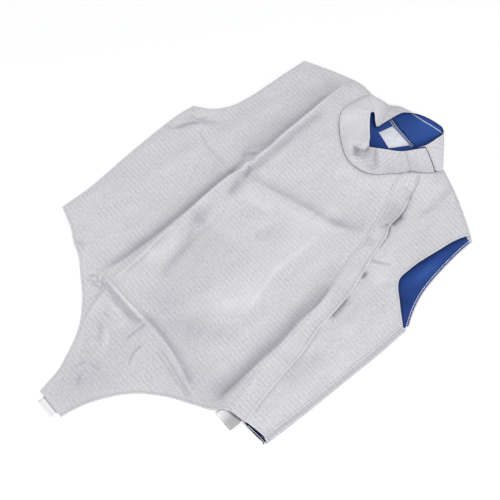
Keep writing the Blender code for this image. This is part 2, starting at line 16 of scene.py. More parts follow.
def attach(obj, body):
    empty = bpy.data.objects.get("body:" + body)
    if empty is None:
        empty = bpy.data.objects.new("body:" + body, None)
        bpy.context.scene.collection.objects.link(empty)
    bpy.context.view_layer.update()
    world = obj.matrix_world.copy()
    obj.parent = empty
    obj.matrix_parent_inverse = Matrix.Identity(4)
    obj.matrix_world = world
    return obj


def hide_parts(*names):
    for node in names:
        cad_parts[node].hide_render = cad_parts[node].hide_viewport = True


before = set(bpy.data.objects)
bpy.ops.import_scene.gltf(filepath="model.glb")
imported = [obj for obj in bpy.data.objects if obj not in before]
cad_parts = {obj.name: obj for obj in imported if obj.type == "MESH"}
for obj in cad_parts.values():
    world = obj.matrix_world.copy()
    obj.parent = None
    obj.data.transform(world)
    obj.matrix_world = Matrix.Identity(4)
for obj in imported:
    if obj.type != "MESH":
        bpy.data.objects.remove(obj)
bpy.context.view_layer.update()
MM = 0.001

# %% [markdown]
# ## The camera
# A catalogue picture is taken from high up, so the vest is seen almost in plan. A long lens keeps the far
# shoulder nearly as large as the near hem. Azimuth 0 looks along +Y, and elevation is above the table.

# %% Camera
CAMERA_AZIMUTH = 49.7
CAMERA_ELEVATION = 65.0
CAMERA_DISTANCE = 1.944
CAMERA_LENS = 86.4
SENSOR = 36.0


def direction(azimuth, elevation):
    """The unit vector from the object towards a viewer or a lamp."""
    a = math.radians(azimuth)
    e = math.radians(elevation)
    return Vector((math.sin(a) * math.cos(e), -math.cos(a) * math.cos(e), math.sin(e)))


def aim(obj, at=(0.0, 0.0, 0.0)):
    obj.rotation_euler = (Vector(at) - obj.location).to_track_quat("-Z", "Y").to_euler()


def place(name, data):
    """A new object with this data, put into the scene."""
    obj = bpy.data.objects.new(name, data)
    bpy.context.scene.collection.objects.link(obj)
    return obj


camera = place("camera", bpy.data.cameras.new("camera"))
camera.data.lens = CAMERA_LENS
camera.data.sensor_width = SENSOR
camera.location = direction(CAMERA_AZIMUTH, CAMERA_ELEVATION) * CAMERA_DISTANCE
aim(camera)
bpy.context.scene.camera = camera
print("camera at", [round(c, 3) for c in camera.location])

# %% [markdown]
# ## Light and table
# Folds a few millimetres high show only when light comes from one side, so one broad lamp stands on the
# camera's side and a pale sky fills the shadows. The lamp is far away, so that the near and the far end of
# the vest are lit alike. The plain view transform keeps the white table white.

# %% Light and table
SKY = 0.5
SKY_COLOUR = (0.97, 0.98, 1.0, 1.0)
KEY_AZIMUTH = 60.0
KEY_ELEVATION = 61.0
KEY_DISTANCE = 8.0
KEY_SIZE = 3.0
KEY_POWER = 432.0
TABLE_HALF = 40.0
TABLE_Z = -0.0002


def lamp(name, azimuth, elevation, distance, size, power):
    light = bpy.data.lights.new(name, "AREA")
    light.shape = "DISK"
    light.size = size
    light.energy = power
    obj = place(name, light)
    obj.location = direction(azimuth, elevation) * distance
    aim(obj)


world = bpy.data.worlds.new("sky")
world.use_nodes = True
sky = world.node_tree.nodes["Background"].inputs
sky["Color"].default_value = SKY_COLOUR
sky["Strength"].default_value = SKY
bpy.context.scene.world = world
bpy.context.scene.view_settings.view_transform = "Standard"
lamp("key lamp", KEY_AZIMUTH, KEY_ELEVATION, KEY_DISTANCE, KEY_SIZE, KEY_POWER)

table = bpy.data.meshes.new("table")
table_corners = [(x * TABLE_HALF, y * TABLE_HALF, TABLE_Z) for x, y in ((-1, -1), (1, -1), (1, 1), (-1, 1))]
table.from_pydata(table_corners, [], [(0, 1, 2, 3)])
floor = place("floor", table)
print("table, metres across:", 2 * TABLE_HALF)

# %% [markdown]
# ## Shader maths as plain expressions
# A wave or a mask takes many Math nodes. This small class wraps a socket, so that an expression such as
# `1 - mask * 0.3` adds those nodes by itself. Any other node comes from one method of the finish.

# %% Sockets and finishes


class Socket:
    """An output of a node; arithmetic on it adds Math nodes to its finish."""

    def __init__(self, finish, output):
        self.finish = finish
        self.output = output

    def maths(self, operation, *values):
        return self.finish.node("ShaderNodeMath", {"operation": operation}, dict(enumerate(values)))

    def __add__(self, other):
        return self.maths("ADD", self, other)

    def __sub__(self, other):
        return self.maths("SUBTRACT", self, other)

    def __rsub__(self, other):
        return self.maths("SUBTRACT", other, self)

    def __mul__(self, other):
        return self.maths("MULTIPLY", self, other)

    def __pow__(self, other):
        return self.maths("POWER", self, other)

    __radd__ = __add__
    __rmul__ = __mul__

    def wave(self, period):
        """A sine of this length, from 0 to 1."""
        return self.maths("SINE", self * (math.tau / period)) * 0.5 + 0.5


class Finish:
    """A material built up node by node on its Principled shader."""

    def __init__(self, name, **constants):
        self.material = bpy.data.materials.new(name)
        self.material.use_nodes = True
        self.tree = self.material.node_tree
        self.shader = self.tree.nodes["Principled BSDF"]
        for socket, value in constants.items():
            self.shader.inputs[socket.replace("_", " ")].default_value = value

    def feed(self, socket, value):
        if isinstance(value, Socket):
            self.tree.links.new(value.output, socket)
        else:
            socket.default_value = value

    def node(self, kind, settings=None, values=None, output=0):
        made = self.tree.nodes.new(kind)
        for name, value in (settings or {}).items():
            setattr(made, name, value)
        for name, value in (values or {}).items():
            self.feed(made.inputs[name], value)
        return Socket(self, made.outputs[output])

    def mix(self, mask, first, second):
        """One colour where the mask is 0, the other where it is 1."""
        return self.node("ShaderNodeMix", {"data_type": "RGBA"}, {0: mask, 6: first, 7: second}, 2)

    def noise(self, size, detail=2.0):
        """Soft noise whose patches are about this many metres across, from 0 to 1."""
        place = self.node("ShaderNodeTexCoord", output="Object")
        return self.node("ShaderNodeTexNoise", {}, {"Vector": place, "Scale": 1.0 / size, "Detail": detail})

    def cut(self):
        """The two coordinates of the flat cut, in metres: across the grain and along it."""
        place = self.node("ShaderNodeUVMap", {"uv_map": "cut"})
        split = self.node("ShaderNodeSeparateXYZ", {}, {"Vector": place})
        return split, Socket(self, split.output.node.outputs["Y"])

    def flecks(self, across, along, length, width):
        """Noise drawn out along the ribs, from 0 to 1."""
        place = self.node("ShaderNodeCombineXYZ", {}, {"X": across * (1 / length), "Y": along * (1 / width)})
        return self.node("ShaderNodeTexNoise", {}, {"Vector": place, "Scale": 1.0, "Detail": 1.0})

    def spread(self, value, low, high):
        """The part of a value between two limits, drawn out from 0 to 1."""
        return self.node("ShaderNodeMapRange", {}, {"Value": value, "From Min": low, "From Max": high})

    def split_painted_light(self):
        """The painted highlight and the painted shade that the mesh's value asks for: lighter where it is
        positive, darker where it is negative.
        """
        light_and_shade_paint = self.node("ShaderNodeAttribute", {"attribute_name": "light_and_shade_paint"}, output="Fac")
        return light_and_shade_paint.maths("MAXIMUM", light_and_shade_paint, 0.0), light_and_shade_paint.maths("MAXIMUM", light_and_shade_paint * -1.0, 0.0)

    def bump(self, millimetres):
        """A relief, given in millimetres, that bends the shading normal."""
        normal = self.node("ShaderNodeBump", {}, {"Height": millimetres, "Distance": MM, "Strength": 1.0})
        self.feed(self.shader.inputs["Normal"], normal)

    def colour(self, value):
        self.feed(self.shader.inputs["Base Color"], value)

    def roughness(self, value):
        self.feed(self.shader.inputs["Roughness"], value)


def rgb(red, green, blue):
    """A colour as seen on a screen, 0 to 255, turned into light."""
    screen = np.array([red, green, blue]) / 255.0
    light = np.where(screen <= 0.04045, screen / 12.92, ((screen + 0.055) / 1.055) ** 2.4)
    return (*[float(c) for c in light], 1.0)


# %% [markdown]
# ## The silver cloth
# The cloth is woven with metal thread, so it is grey with a cool cast and a low sheen. Its ribs run across
# the body, 7 mm apart, and look like paler and darker stripes. Fine threads cross them. The stripes could be
# an image; here they are sine waves on the flat cut's own coordinates, so they turn with each piece, and a
# little noise bends them as real weaving does. A value on each mesh paints light and shade into the colour:
# painted highlights make the cloth paler on crests and on slopes that face the lamp, and painted shade makes
# it greyer in creases, beside folds and under edges.

# %% Silver cloth
RIB_PERIOD = 0.00715
THREAD_PERIOD = 0.0013


def silver_cloth():
    made = Finish("silver ribbed cloth", Metallic=0.06)
    across, along = made.cut()
    bent = along + (made.noise(0.06) - 0.5) * 0.0024
    rib = bent.wave(RIB_PERIOD)
    clear = made.spread(made.noise(0.05), 0.36, 0.62)
    stripe = rib ** 1.6 * (clear * 0.6 + 0.4)
    weft = bent.wave(THREAD_PERIOD)
    warp = across.wave(THREAD_PERIOD * 0.9)
    flecks = made.spread(made.flecks(across, bent, 0.007, 0.0019), 0.3, 0.7)
    grain = made.spread(made.noise(0.0023, 1.0), 0.3, 0.7)
    base = made.mix(stripe * 0.85, rgb(210, 208, 212), rgb(188, 186, 194))
    base = made.mix(flecks * 0.5, base, rgb(172, 170, 177))
    base = made.mix(grain * 0.46, base, rgb(231, 229, 231))
    base = made.mix(made.noise(0.09, 3.0) * 0.18, base, rgb(214, 211, 211))
    # painted light and shade from the mesh: a painted highlight mixes towards pale silver, painted shade
    # towards dark grey
    painted_light_amount, painted_shade_amount = made.split_painted_light()
    base = made.mix(painted_light_amount * 0.9, base, rgb(234, 233, 235))
    base = made.mix(painted_shade_amount * 0.75, base, rgb(128, 126, 137))
    made.colour(base)
    made.roughness(0.68 - warp * 0.08 + flecks * 0.08 - painted_light_amount * 0.08)
    made.bump(rib * 0.1 + weft * warp * 0.07 + flecks * 0.06 + grain * 0.06)
    return made.material


silver = silver_cloth()

# %% [markdown]
# ## Lining, webbing and thread
# The lining is a royal blue twill, matt and fine, with diagonal threads. The webbing and the elastic are
# white with cross ribs. The label is bare white satin. Thread has a slight twist.

# %% The other finishes


def lining_cloth():
    made = Finish("royal blue lining", Specular_IOR_Level=0.12, Metallic=0.0)
    across, along = made.cut()
    twill = (across + along).wave(0.0016)
    cloudy = made.noise(0.03, 3.0)
    base = made.mix(twill * 0.4, rgb(41, 69, 134), rgb(30, 50, 104))
    base = made.mix(cloudy * 0.4, base, rgb(44, 74, 138))
    # painted light and shade from the mesh: a painted highlight mixes towards bright blue, painted shade
    # towards navy
    painted_light_amount, painted_shade_amount = made.split_painted_light()
    base = made.mix(painted_light_amount, base, rgb(72, 112, 198))
    made.colour(made.mix(painted_shade_amount, base, rgb(14, 20, 52)))
    made.roughness(0.7 + twill * 0.15)
    made.bump(twill * 0.08 + cloudy * 0.3)
    return made.material


def webbing():
    made = Finish("white webbing", Metallic=0.0)
    across, along = made.cut()
    rib = along.wave(0.0021)
    strand = across.wave(0.0012)
    base = made.mix(rib * 0.5, rgb(226, 226, 226), rgb(192, 192, 196))
    # painted light and shade from the mesh: a painted highlight mixes towards white, painted shade towards
    # grey
    painted_light_amount, painted_shade_amount = made.split_painted_light()
    base = made.mix(painted_light_amount, base, rgb(250, 250, 250))
    made.colour(made.mix(painted_shade_amount, base, rgb(120, 121, 124)))
    made.roughness(0.6 + strand * 0.2)
    made.bump(rib * 0.22 + strand * 0.1)
    return made.material


def satin():
    made = Finish("bare label satin", Metallic=0.0, Sheen_Weight=0.3)
    across, along = made.cut()
    strand = across.wave(0.0009)
    base = made.mix(strand * 0.25, rgb(244, 245, 250), rgb(222, 225, 238))
    made.colour(made.mix(made.spread(made.noise(0.008), 0.5, 0.7) * 0.4, base, rgb(206, 208, 222)))
    made.roughness(0.5 + strand * 0.2)
    made.bump(strand * 0.03 + made.noise(0.009) * 1.2)
    return made.material


def thread(name, pale, dark):
    made = Finish(name, Metallic=0.0)
    twist = made.noise(0.0008, 1.0)
    made.colour(made.mix(twist, pale, dark))
    made.roughness(0.45 + twist * 0.3)
    made.bump(twist * 0.05)
    return made.material


def pale_table():
    made = Finish("pale table", Metallic=0.0)
    made.colour(made.mix(made.noise(0.4) * 0.3, rgb(253, 253, 253), rgb(250, 250, 250)))
    made.roughness(0.85 + made.noise(0.1) * 0.1)
    return made.material


blue = lining_cloth()
white = webbing()
label_satin = satin()
silver_thread = thread("silver thread", rgb(214, 213, 217), rgb(176, 175, 182))
white_thread = thread("white thread", rgb(254, 254, 254), rgb(238, 241, 248))
floor.data.materials.append(pale_table())

# %% [markdown]
# ## The drawing of the garment
# These are the sizes that the solids were made from, in millimetres: +X is the wearer's left and +Y points
# to the collar. Each outline is a short table read by a smooth curve.

# %% Walls, clearances and outlines
SOLID_FRONT_WALL = 1.5
CLOTH_WALL = 1.2
LINING_WALL = 1.0
SEAM_GAP = 0.3
LINING_TOP = 2.5
FRONT_LOW = 4.9
LEFT_FRONT_LOW = 6.2
SEWN_EDGE = 3.0
SIDE_FOLD_RADIUS = 4.8
SEAM_ON_TOP = 2 * SIDE_FOLD_RADIUS

RIGHT_SIDE = [(-257.5, -186), (-257.5, -125), (-265, -50), (-270, 15), (-272, 68), (-269, 101)]
RIGHT_ARMHOLE = [(-269, 101), (-249, 115), (-233, 135), (-223, 162), (-218, 210), (-216, 262), (-215, 307)]
RIGHT_SHOULDER = [(-215, 307), (-170, 329), (-120, 349), (-92, 351)]
LEFT_SHOULDER = [(98, 341), (135, 327.5), (162, 316), (192, 301), (223, 284)]
LEFT_BACK_ARMHOLE = [(223, 284), (224, 250), (229, 203), (236, 165), (248, 132), (266, 100)]
LEFT_FRONT_ARMHOLE = [(213, 289), (204, 262), (197, 210), (194, 172), (198, 143), (228, 117), (258, 95)]
LEFT_SIDE = [(266, 99), (268, 40), (267, -44), (266, -129), (263, -193)]
SIDE_SEAM = [(258.5, 95), (260, 40), (259.5, -44), (258, -119), (255, -189)]
BACK_NECK = [(-92, 351), (-70, 355), (-50, 355), (-24, 350), (0, 344), (30, 342), (72, 341), (98, 341)]
BACK_HEM = [(263, -193), (225, -196), (100, -190), (-120, -187), (-257.5, -186)]
CROTCH = [(-401, 27), (-383, 30), (-359, 36), (-338, 45), (-318, 55), (-300, 66), (-284, 79), (-269, 95),
          (-255, 112), (-243, 131), (-231, 150), (-219, 169)]
CROTCH_CENTRE = 2.0
HEM_RIGHT = [(-194, -210), (-218, -198), (-244, -190), (-257.5, -186)]
HEM_LEFT = [(178, -208), (189, -201)]
FLY_SEAM = [(66, 284), (68, 261), (91, 212), (109, 160), (126, 92), (147, 15), (160, -60), (166, -110),
            (189, -200)]
FLY_EDGE = [(83, 299), (88, 291), (94, 279), (98.5, 266), (106, 250), (112, 235), (116.5, 219), (117.5, 203),
            (120.5, 192), (127, 184.5), (130.5, 173), (134, 161), (141, 138), (149, 116), (154, 102),
            (160.5, 82), (166, 64), (171, 34), (177, -10), (191, -54), (194, -71), (206, -141), (219, -194)]
PIT_Y = 97.0
HEM_Y = -191.0
LEFT_HEM = [(219, -192.5), (240, -188), (254, -186.5)]
print("chest across, mm:", LEFT_SIDE[0][0] - RIGHT_SIDE[-1][0], "nape to hem:", BACK_NECK[1][1] - HEM_Y)

# %% [markdown]
# ## Folds and creases
# The vest was folded in a bag, so two sharp ridges run down the body and two cross it. Smaller creases break
# off from them. Cloth simulation gives round, even folds, so each crease is listed here: a row says
# how high it is (a trough is negative), how far it reaches on its left and its right as seen along its
# points, and where it runs. Heights die away from the line and at both ends.

# %% Main folds, columns x, y and height, then their reach to the left and to the right
RIGHT_RIDGE = [(-130, 325, 3.5), (-128, 267, 5.5), (-125, 216, 6.5), (-123, 174, 7.5), (-119, 148, 7.5),
               (-119, 118, 7), (-115, 109, 7), (-121, 98, 6.5), (-118, 84, 6.5), (-121, 62, 7),
               (-119.5, 33, 8.5), (-116, -10, 8.5), (-111.5, -64, 8), (-107.5, -105, 7), (-101, -160, 5.5),
               (-99, -205, 3)]
LEFT_RIDGE = [(128, 90, 0), (140, 60, 2), (146, 30, 4), (149, -20, 5), (157, -70, 5), (161, -120, 5.5),
              (165, -170, 5.5), (169, -205, 3)]
CHEST_RIDGE = [(-93, 79, 1.5), (-77, 90, 3), (-30, 106, 3.5), (1, 115, 3.5), (59, 134, 3.5), (92, 150, 2)]
WAIST_RIDGE = [(-128, -215, 2.5), (-101, -210, 5.5), (-52, -209, 5.5), (-11, -206, 4), (18, -206, 3.5),
               (50, -208, 3), (130, -228, 1)]
FOLDS = [
    (RIGHT_RIDGE, 60.0, 13.0),
    (CHEST_RIDGE, 8.0, 32.0),
    (WAIST_RIDGE, 7.0, 9.0),
]
CREST_RADIUS = 1.1

BELLY_SWELL = [(16, 104), (30, 62), (34, 20), (42, -30), (54, -92), (58, -130)]
SIDE_PLEAT = [(-254, 50), (-247, 66), (-240, 82), (-231, 96), (-214, 112)]
SIDE_CRINKLE = [(-224, 76), (-206, 73), (-188, 69), (-146, 70)]
FRONT_CREASES = [
    # height, reach on the left, reach on the right, points
    (1.5, 12, 4, [(-124, 150), (-133, 130), (-141, 112), (-140, 98), (-136, 79)]),
    (-1.2, 4, 5, [(-122, 100), (-113, 86), (-105, 76), (-94, 66)]),
    (-1.0, 4, 4, [(-95, 97), (-96, 83), (-94, 71)]),
    (-1.3, 4, 4, [(-113, 210), (-110, 160), (-107, 122), (-107, 92), (-108, 64)]),
    (-0.8, 4, 5, [(-102, -5), (-91, -24), (-84, -33)]),
    (-0.7, 4, 4, [(-105, -70), (-102, -91), (-98, -107)]),
    (1.3, 6, 16, [(-80, 40), (-91, 62), (-94, 82)]),
    (-0.9, 4, 4, [(-71, 72), (-59, 62)]),
    (-1.8, 3, 4, [(-122, -222), (-91, -221), (-63, -220), (-37, -219), (-12, -217)]),
    (-1.8, 2.5, 2.5, [(-131, -227), (-127, -217), (-116, -214), (-102, -214)]),
    (-1.8, 2.5, 2.5, [(-118, -232), (-106, -226)]),
    (-1.6, 2.5, 2.5, [(-106, -228), (-116, -212)]),
    (-1.3, 2.5, 2.5, [(-99, -224), (-106, -211)]),
    (1.0, 4, 4, [(-192, -204), (-181, -200), (-170, -203)]),
    (-1.0, 4, 3, [(-6, -209), (-8, -225), (-8, -243)]),
    (1.6, 12, 4, [(-92, -220), (-89, -241), (-83, -260), (-70, -275)]),
    (-1.0, 3, 8, [(46, -225), (67, -227), (98, -229), (131, -229)]),
    (0.9, 6, 4, [(-4, -248), (-8, -235), (-10, -216)]),
    (1.0, 6, 4, [(30, -269), (22, -259), (19, -249), (19, -236)]),
    (0.6, 4, 4, [(-38, -309), (-23, -302)]),
    (0.7, 4, 3, [(-21, -338), (-17, -328), (-16, -318)]),
    (0.5, 4, 4, [(-14, -316), (7, -309)]),
    (0.6, 5, 3, [(-42, -283), (-40, -296)]),
    (2.2, 30, 26, BELLY_SWELL),
    (0.9, 4, 14, [(-70, 19), (-75, -10), (-80, -32)]),
    (-1.0, 10, 14, [(-8, 57), (-12, 33), (-10, 10), (-2, -16)]),
    (1.9, 5, 16, SIDE_PLEAT),
    (-0.9, 4, 4, [(-238, 104), (-224, 98), (-213, 101)]),
    (-1.1, 3, 3, [(-262, 84), (-248, 88), (-238, 104)]),
    (0.9, 3, 4, [(-266, 62), (-256, 70), (-250, 84)]),
    (-0.7, 4, 5, SIDE_CRINKLE),
    (-0.6, 4, 5, [(-180, 64), (-163, 67), (-147, 69)]),
    (-0.5, 3, 4, [(-172, 58), (-156, 61)]),
    (0.8, 4, 5, [(-184, -206), (-168, -197)]),
    (1.5, 26, 22, [(-172, 300), (-178, 230), (-186, 150), (-196, 60)]),
    (1.6, 24, 30, [(-205, 40), (-208, -40), (-200, -120), (-190, -170)]),
    (1.3, 20, 24, [(-70, 220), (-60, 170), (-30, 150)]),
    (1.2, 22, 20, [(-58, -60), (-50, -120), (-52, -170)]),
    (1.4, 26, 20, [(10, 190), (22, 168), (52, 158), (80, 170)]),
    (1.0, 16, 16, [(100, -40), (104, -90), (112, -150)]),
    (-0.7, 5, 6, [(-20, 214), (4, 208), (30, 213), (50, 226)]),
    (-0.8, 5, 4, [(24, 212), (44, 214), (60, 226)]),
    (0.7, 12, 5, [(-160, -60), (-150, -100), (-152, -140)]),
    (-0.6, 5, 7, [(60, 60), (72, 30), (78, -10)]),
]
LEFT_CREASES = [
    (-0.9, 4, 6, [(138, 132), (151, 143), (166, 152)]),
    (-0.9, 4, 6, [(173, 121), (186, 129), (198, 137)]),
    (-1.7, 7, 12, [(124, 335), (130, 316), (136, 285), (131, 260), (128, 240)]),
    (1.4, 14, 18, [(208, 110), (200, 60), (210, 0), (212, -60)]),
    (-0.8, 4, 5, [(215, 40), (222, 20), (236, 8)]),
    (1.0, 10, 12, [(160, 262), (172, 226), (176, 190)]),
    (0.8, 8, 8, [(226, -110), (232, -150), (238, -180)]),
    (-0.8, 4, 4, [(186, -52), (196, -44), (210, -46)]),
]
FLAP_CREASES = [
    (-0.8, 3, 3, [(162, 10), (162, -4), (169, -18)]),
    (-0.6, 3, 3, [(187, -55), (189, -40)]),
    (-0.8, 3, 4, [(174, -130), (172, -113), (170, -92)]),
    (-1.2, 3, 5, [(104, 186), (108, 190), (115, 198)]),
    (-1.0, 3, 4, [(76, 262), (84, 266), (96, 265)]),
    (0.9, 4, 4, [(120, 150), (128, 146), (137, 148)]),
]
print("creases:", len(FOLDS) + len(FRONT_CREASES) + len(LEFT_CREASES) + len(FLAP_CREASES))

# %% [markdown]
# ## Painted light and shade on the metal cloth
# Colour stands in for the light on the folds: painted highlights along crests and on slopes that face the
# lamp, painted shade in creases, on slopes turned away and under lifted edges. The rows are like those
# above, but the first number says how pale (positive) or how grey (negative) the cloth is painted along the
# line.

# %% Painted light and shade, columns strength, reach on the left, reach on the right, points
FRONT_PAINTED_LIGHT = [
    (0.7, 1.4, 1.1, RIGHT_RIDGE[:-3]),
    (0.4, 1.3, 1.1, RIGHT_RIDGE[-4:]),
    (-0.4, 2.0, 9, [(-132, 290), (-129, 216), (-127, 174), (-123, 150), (-122, 118)]),
    (-0.3, 4, 40, [(-138, 330), (-134, 290), (-130, 216), (-128, 174), (-126, 130), (-128, 90)]),
    (-0.45, 3, 5, [(-138, 98), (-138, 107), (-134, 113), (-125, 122)]),
    (-0.4, 5, 5, [(-132, 100), (-130, 84), (-127, 60)]),
    (-0.6, 2.0, 10, [(-124, 90), (-124, 50), (-121, 0), (-118, -60), (-116, -105), (-118, -160),
                     (-122, -205)]),
    (-0.22, 2.0, 24, [(-126, 70), (-124, 20), (-120, -40), (-118, -105), (-120, -160)]),
    (-0.5, 9, 6, [(-115, 262), (-115, 200), (-112, 160), (-111, 130), (-109, 100), (-106, 70)]),
    (-0.3, 7, 6, [(-104, 66), (-100, 52), (-96, 34)]),
    (-0.35, 4, 4, [(-112, 98), (-108, 86), (-100, 74)]),
    (-0.3, 3, 3, [(-106, -83), (-102, -111), (-96, -149), (-96, -183)]),
    (-0.16, 8, 8, [(-100, 4), (-93, -20), (-86, -33)]),
    (-0.6, 2, 21, [(138, 66), (145, 30), (147, -20), (155, -70), (158, -120), (160, -170), (163, -206)]),
    (-0.15, 8, 8, [(166, -128), (166, -152), (163, -172), (161, -205)]),
    (-0.28, 13, 3, [(-102, 82), (-73, 93), (-43, 102), (-20, 109), (14, 120), (50, 128), (77, 148)]),
    (-0.2, 22, 4, [(40, 126), (62, 136), (84, 150), (100, 164)]),
    (0.2, 3, 14, [(-60, 84), (-20, 94), (20, 106), (60, 120)]),
    (0.5, 1.1, 1.1, [(-102, -210), (-75, -210), (-52, -209), (-28, -208), (-11, -206)]),
    (0.15, 1.5, 1.5, [(-11, -206), (18, -206), (50, -208), (90, -215)]),
    (-0.55, 2, 7, [(-100, -215), (-72, -215), (-47, -215), (-24, -214), (-10, -211)]),
    (-0.45, 8, 2, [(-22, -203), (13, -202), (45, -204), (80, -209), (122, -220)]),
    (-0.6, 2, 2, [(-131, -227), (-125, -219)]),
    (-0.6, 2, 2, [(-122, -216), (-114, -222)]),
    (-0.6, 2, 2, [(-112, -213), (-104, -220)]),
    (-0.5, 2, 2, [(-118, -232), (-107, -226)]),
    (-0.35, 3, 3, [(-192, -206), (-181, -203), (-172, -206)]),
    (0.3, 2, 2, [(-93, -217), (-87, -241), (-78, -267), (-69, -281)]),
    (-0.25, 5, 2, [(-96, -219), (-91, -241), (-82, -267), (-73, -281)]),
    (-0.5, 2.5, 2, [(-6, -209), (-8, -225), (-7, -249)]),
    (-0.5, 1.8, 1.6, [(30, -270), (23, -262), (18, -250), (17, -236)]),
    (-0.45, 2, 1.6, [(40, -217), (76, -222), (110, -227), (137, -231)]),
    (-0.4, 1.6, 1.6, [(38, -224), (79, -229), (112, -232), (135, -237)]),
    (-0.4, 1.4, 1.4, [(-67, -246), (-50, -245), (-36, -242)]),
    (-0.3, 1.4, 1.4, [(-69, -237), (-52, -237), (-35, -235)]),
    (-0.35, 1.3, 1.3, [(-38, -313), (-30, -308), (-20, -304)]),
    (-0.35, 1.3, 1.3, [(-24, -337), (-21, -327), (-19, -317)]),
    (-0.3, 4, 4, [(-8, -338), (-2, -343), (3, -350)]),
    (-0.3, 1.5, 1.5, [(-14, -316), (-2, -313), (8, -309)]),
    (-0.3, 3, 3, [(-56, -262), (-44, -270), (-34, -282)]),
    (0.22, 4, 4, [(-40, -262), (-24, -274), (-12, -292)]),
    (-0.4, 2, 2, [(-79, -221), (-58, -223), (-37, -221), (-24, -223)]),
    (-0.5, 1.8, 1.8, [(-128, -232), (-118, -228), (-110, -219)]),
    (-0.5, 1.8, 1.8, [(-100, -230), (-104, -222), (-99, -213)]),
    (0.22, 9, 9, [(-87, 60), (-56, 64), (-30, 80)]),
    (0.34, 4, 5, [(54, 87), (56, 52), (56, 12), (66, -27), (80, -73)]),
    (-0.26, 8, 7, [(-116, 82), (-106, 62), (-94, 39)]),
    (-0.22, 8, 7, [(-103, -9), (-92, -42), (-73, -70)]),
    (-0.16, 4, 4, [(-65, -132), (-64, -91), (-72, -39), (-71, 3)]),
    (0.3, 9, 9, [(-95, -133), (-85, -109), (-88, -82)]),
    (-0.2, 7, 7, [(-50, -141), (-59, -111), (-74, -65)]),
    (-0.16, 12, 12, [(-5, 15), (6, 50), (-1, 77)]),
    (0.2, 10, 12, [(46, -103), (61, -73), (56, -37)]),
    (-0.14, 16, 16, [(37, -167), (74, -136), (94, -100)]),
    (0.18, 12, 12, [(32, 160), (42, 128), (68, 116)]),
    (0.2, 10, 10, [(-59, -225), (-48, -238), (-27, -240)]),
    (-0.14, 60, 60, [(-60, -225), (0, -280), (4, -370)]),
    (-0.2, 44, 34, [(-60, -10), (-44, -90), (-10, -190)]),
    (-0.2, 36, 50, [(20, -150), (90, -196), (170, -206)]),
    (-0.12, 30, 30, [(4, -300), (2, -350), (2, -400)]),
    (-0.2, 10, 8, [(-120, -26), (-96, -32), (-78, -34)]),
    (0.22, 8, 8, [(-64, 60), (-44, 66), (-26, 74)]),
    (-0.35, 2, 2, [(-275, 38), (-257, 46), (-248, 69), (-237, 85)]),
    (-0.4, 2.2, 2.2, [(-258, 86), (-244, 90), (-236, 105)]),
    (-0.3, 2.5, 2.5, SIDE_CRINKLE),
    (0.16, 34, 30, BELLY_SWELL),
    (-0.4, 3, 6, SIDE_PLEAT),
]
# painted shade in the flap's creases and hollows
FLAP_PAINTED_LIGHT = [
    (-0.25, 14, 14, [(90, 240), (98, 214), (108, 190)]),
    (-0.35, 3, 10, [(84, 150), (108, 157), (126, 164)]),
    (-0.4, 1.6, 1.6, [(104, 183), (113, 194), (115, 202)]),
    (-0.35, 2, 2, [(100, 190), (108, 193), (116, 198)]),
    (-0.3, 2, 2, [(76, 262), (84, 266), (96, 265)]),
]
# how far down the flap, as -y, and how strong the painted highlight (positive) or painted shade (negative)
# on its free rim is there
RIM_SHINE = [(-300, -0.9), (-258, -0.8), (-250, -0.2), (-242, 0.9), (-205, 1.0), (-170, 0.5), (-156, 0.1),
             (-140, 0.2), (-125, 0.7), (-100, 0.6), (-60, 0.5), (60, 0.6), (200, 0.4)]
# painted shade under and beside the flap's curled edge and in creases of the left front, and a few painted
# highlights
LEFT_PAINTED_LIGHT = [
    (-0.8, 2.5, 2.5, [(85, 292), (91, 277), (99, 264), (105, 252)]),
    (-1.2, 3, 2, [(106, 249), (112, 233), (115, 221)]),
    (-1.4, 6, 4, [(115, 228), (116, 214), (117, 202)]),
    (-1.2, 3.5, 2, [(116, 200), (122, 192), (129, 179)]),
    (-0.9, 2, 2, [(129, 179), (132, 169), (134, 157)]),
    (-0.65, 1.5, 3.5, [(140, 132), (146, 139), (154, 144), (170, 156)]),
    (-1.2, 3.5, 3.5, [(153, 115), (155, 107), (155, 102)]),
    (-0.7, 1.6, 1.6, [(157, 96), (158, 84), (160, 71)]),
    (-1.0, 5.5, 5, [(163, 63), (169, 49), (172, 32), (175, 17)]),
    (0.3, 12, 12, [(179, 108), (168, 136), (165, 167)]),
    (0.25, 10, 10, [(198, -43), (199, -2), (207, 34)]),
    (-0.16, 12, 12, [(216, -111), (211, -66), (219, -31)]),
    (-0.35, 2.5, 3, [(178, 0), (190, -48), (198, -100), (212, -160), (218, -188)]),
    (-0.2, 7, 7, [(129, 330), (132, 300), (134, 275), (137, 252)]),
]

# %% [markdown]
# ## Curves and distances
# A few helpers do most of the work: a smooth curve through a short table, the distance from many points to
# a line at once, a step that starts and ends gently, and a bell that fades on both sides.

# %% Curves and distances
LONG_EDGE_STEP = 20.0
READING_STEP = 8.0


def smoothstep(low, high, value):
    t = np.clip((np.asarray(value, float) - low) / (high - low), 0.0, 1.0)
    return t * t * (3.0 - 2.0 * t)


def unit(vectors):
    return vectors / np.linalg.norm(vectors, axis=-1)[..., None]


def to_left(ahead):
    """Directions turned a quarter to their left."""
    return np.column_stack([-ahead[:, 1], ahead[:, 0]])


def stretches(line):
    """The length from each point of a line to the next."""
    return np.linalg.norm(np.diff(line, axis=0), axis=1)


def run_along(line):
    """How far along a line each of its points is."""
    return np.concatenate([[0.0], np.cumsum(stretches(line))])


def bell(value, width):
    """1 where the value is 0, fading away on both sides."""
    return np.exp(-(value / width) ** 2)


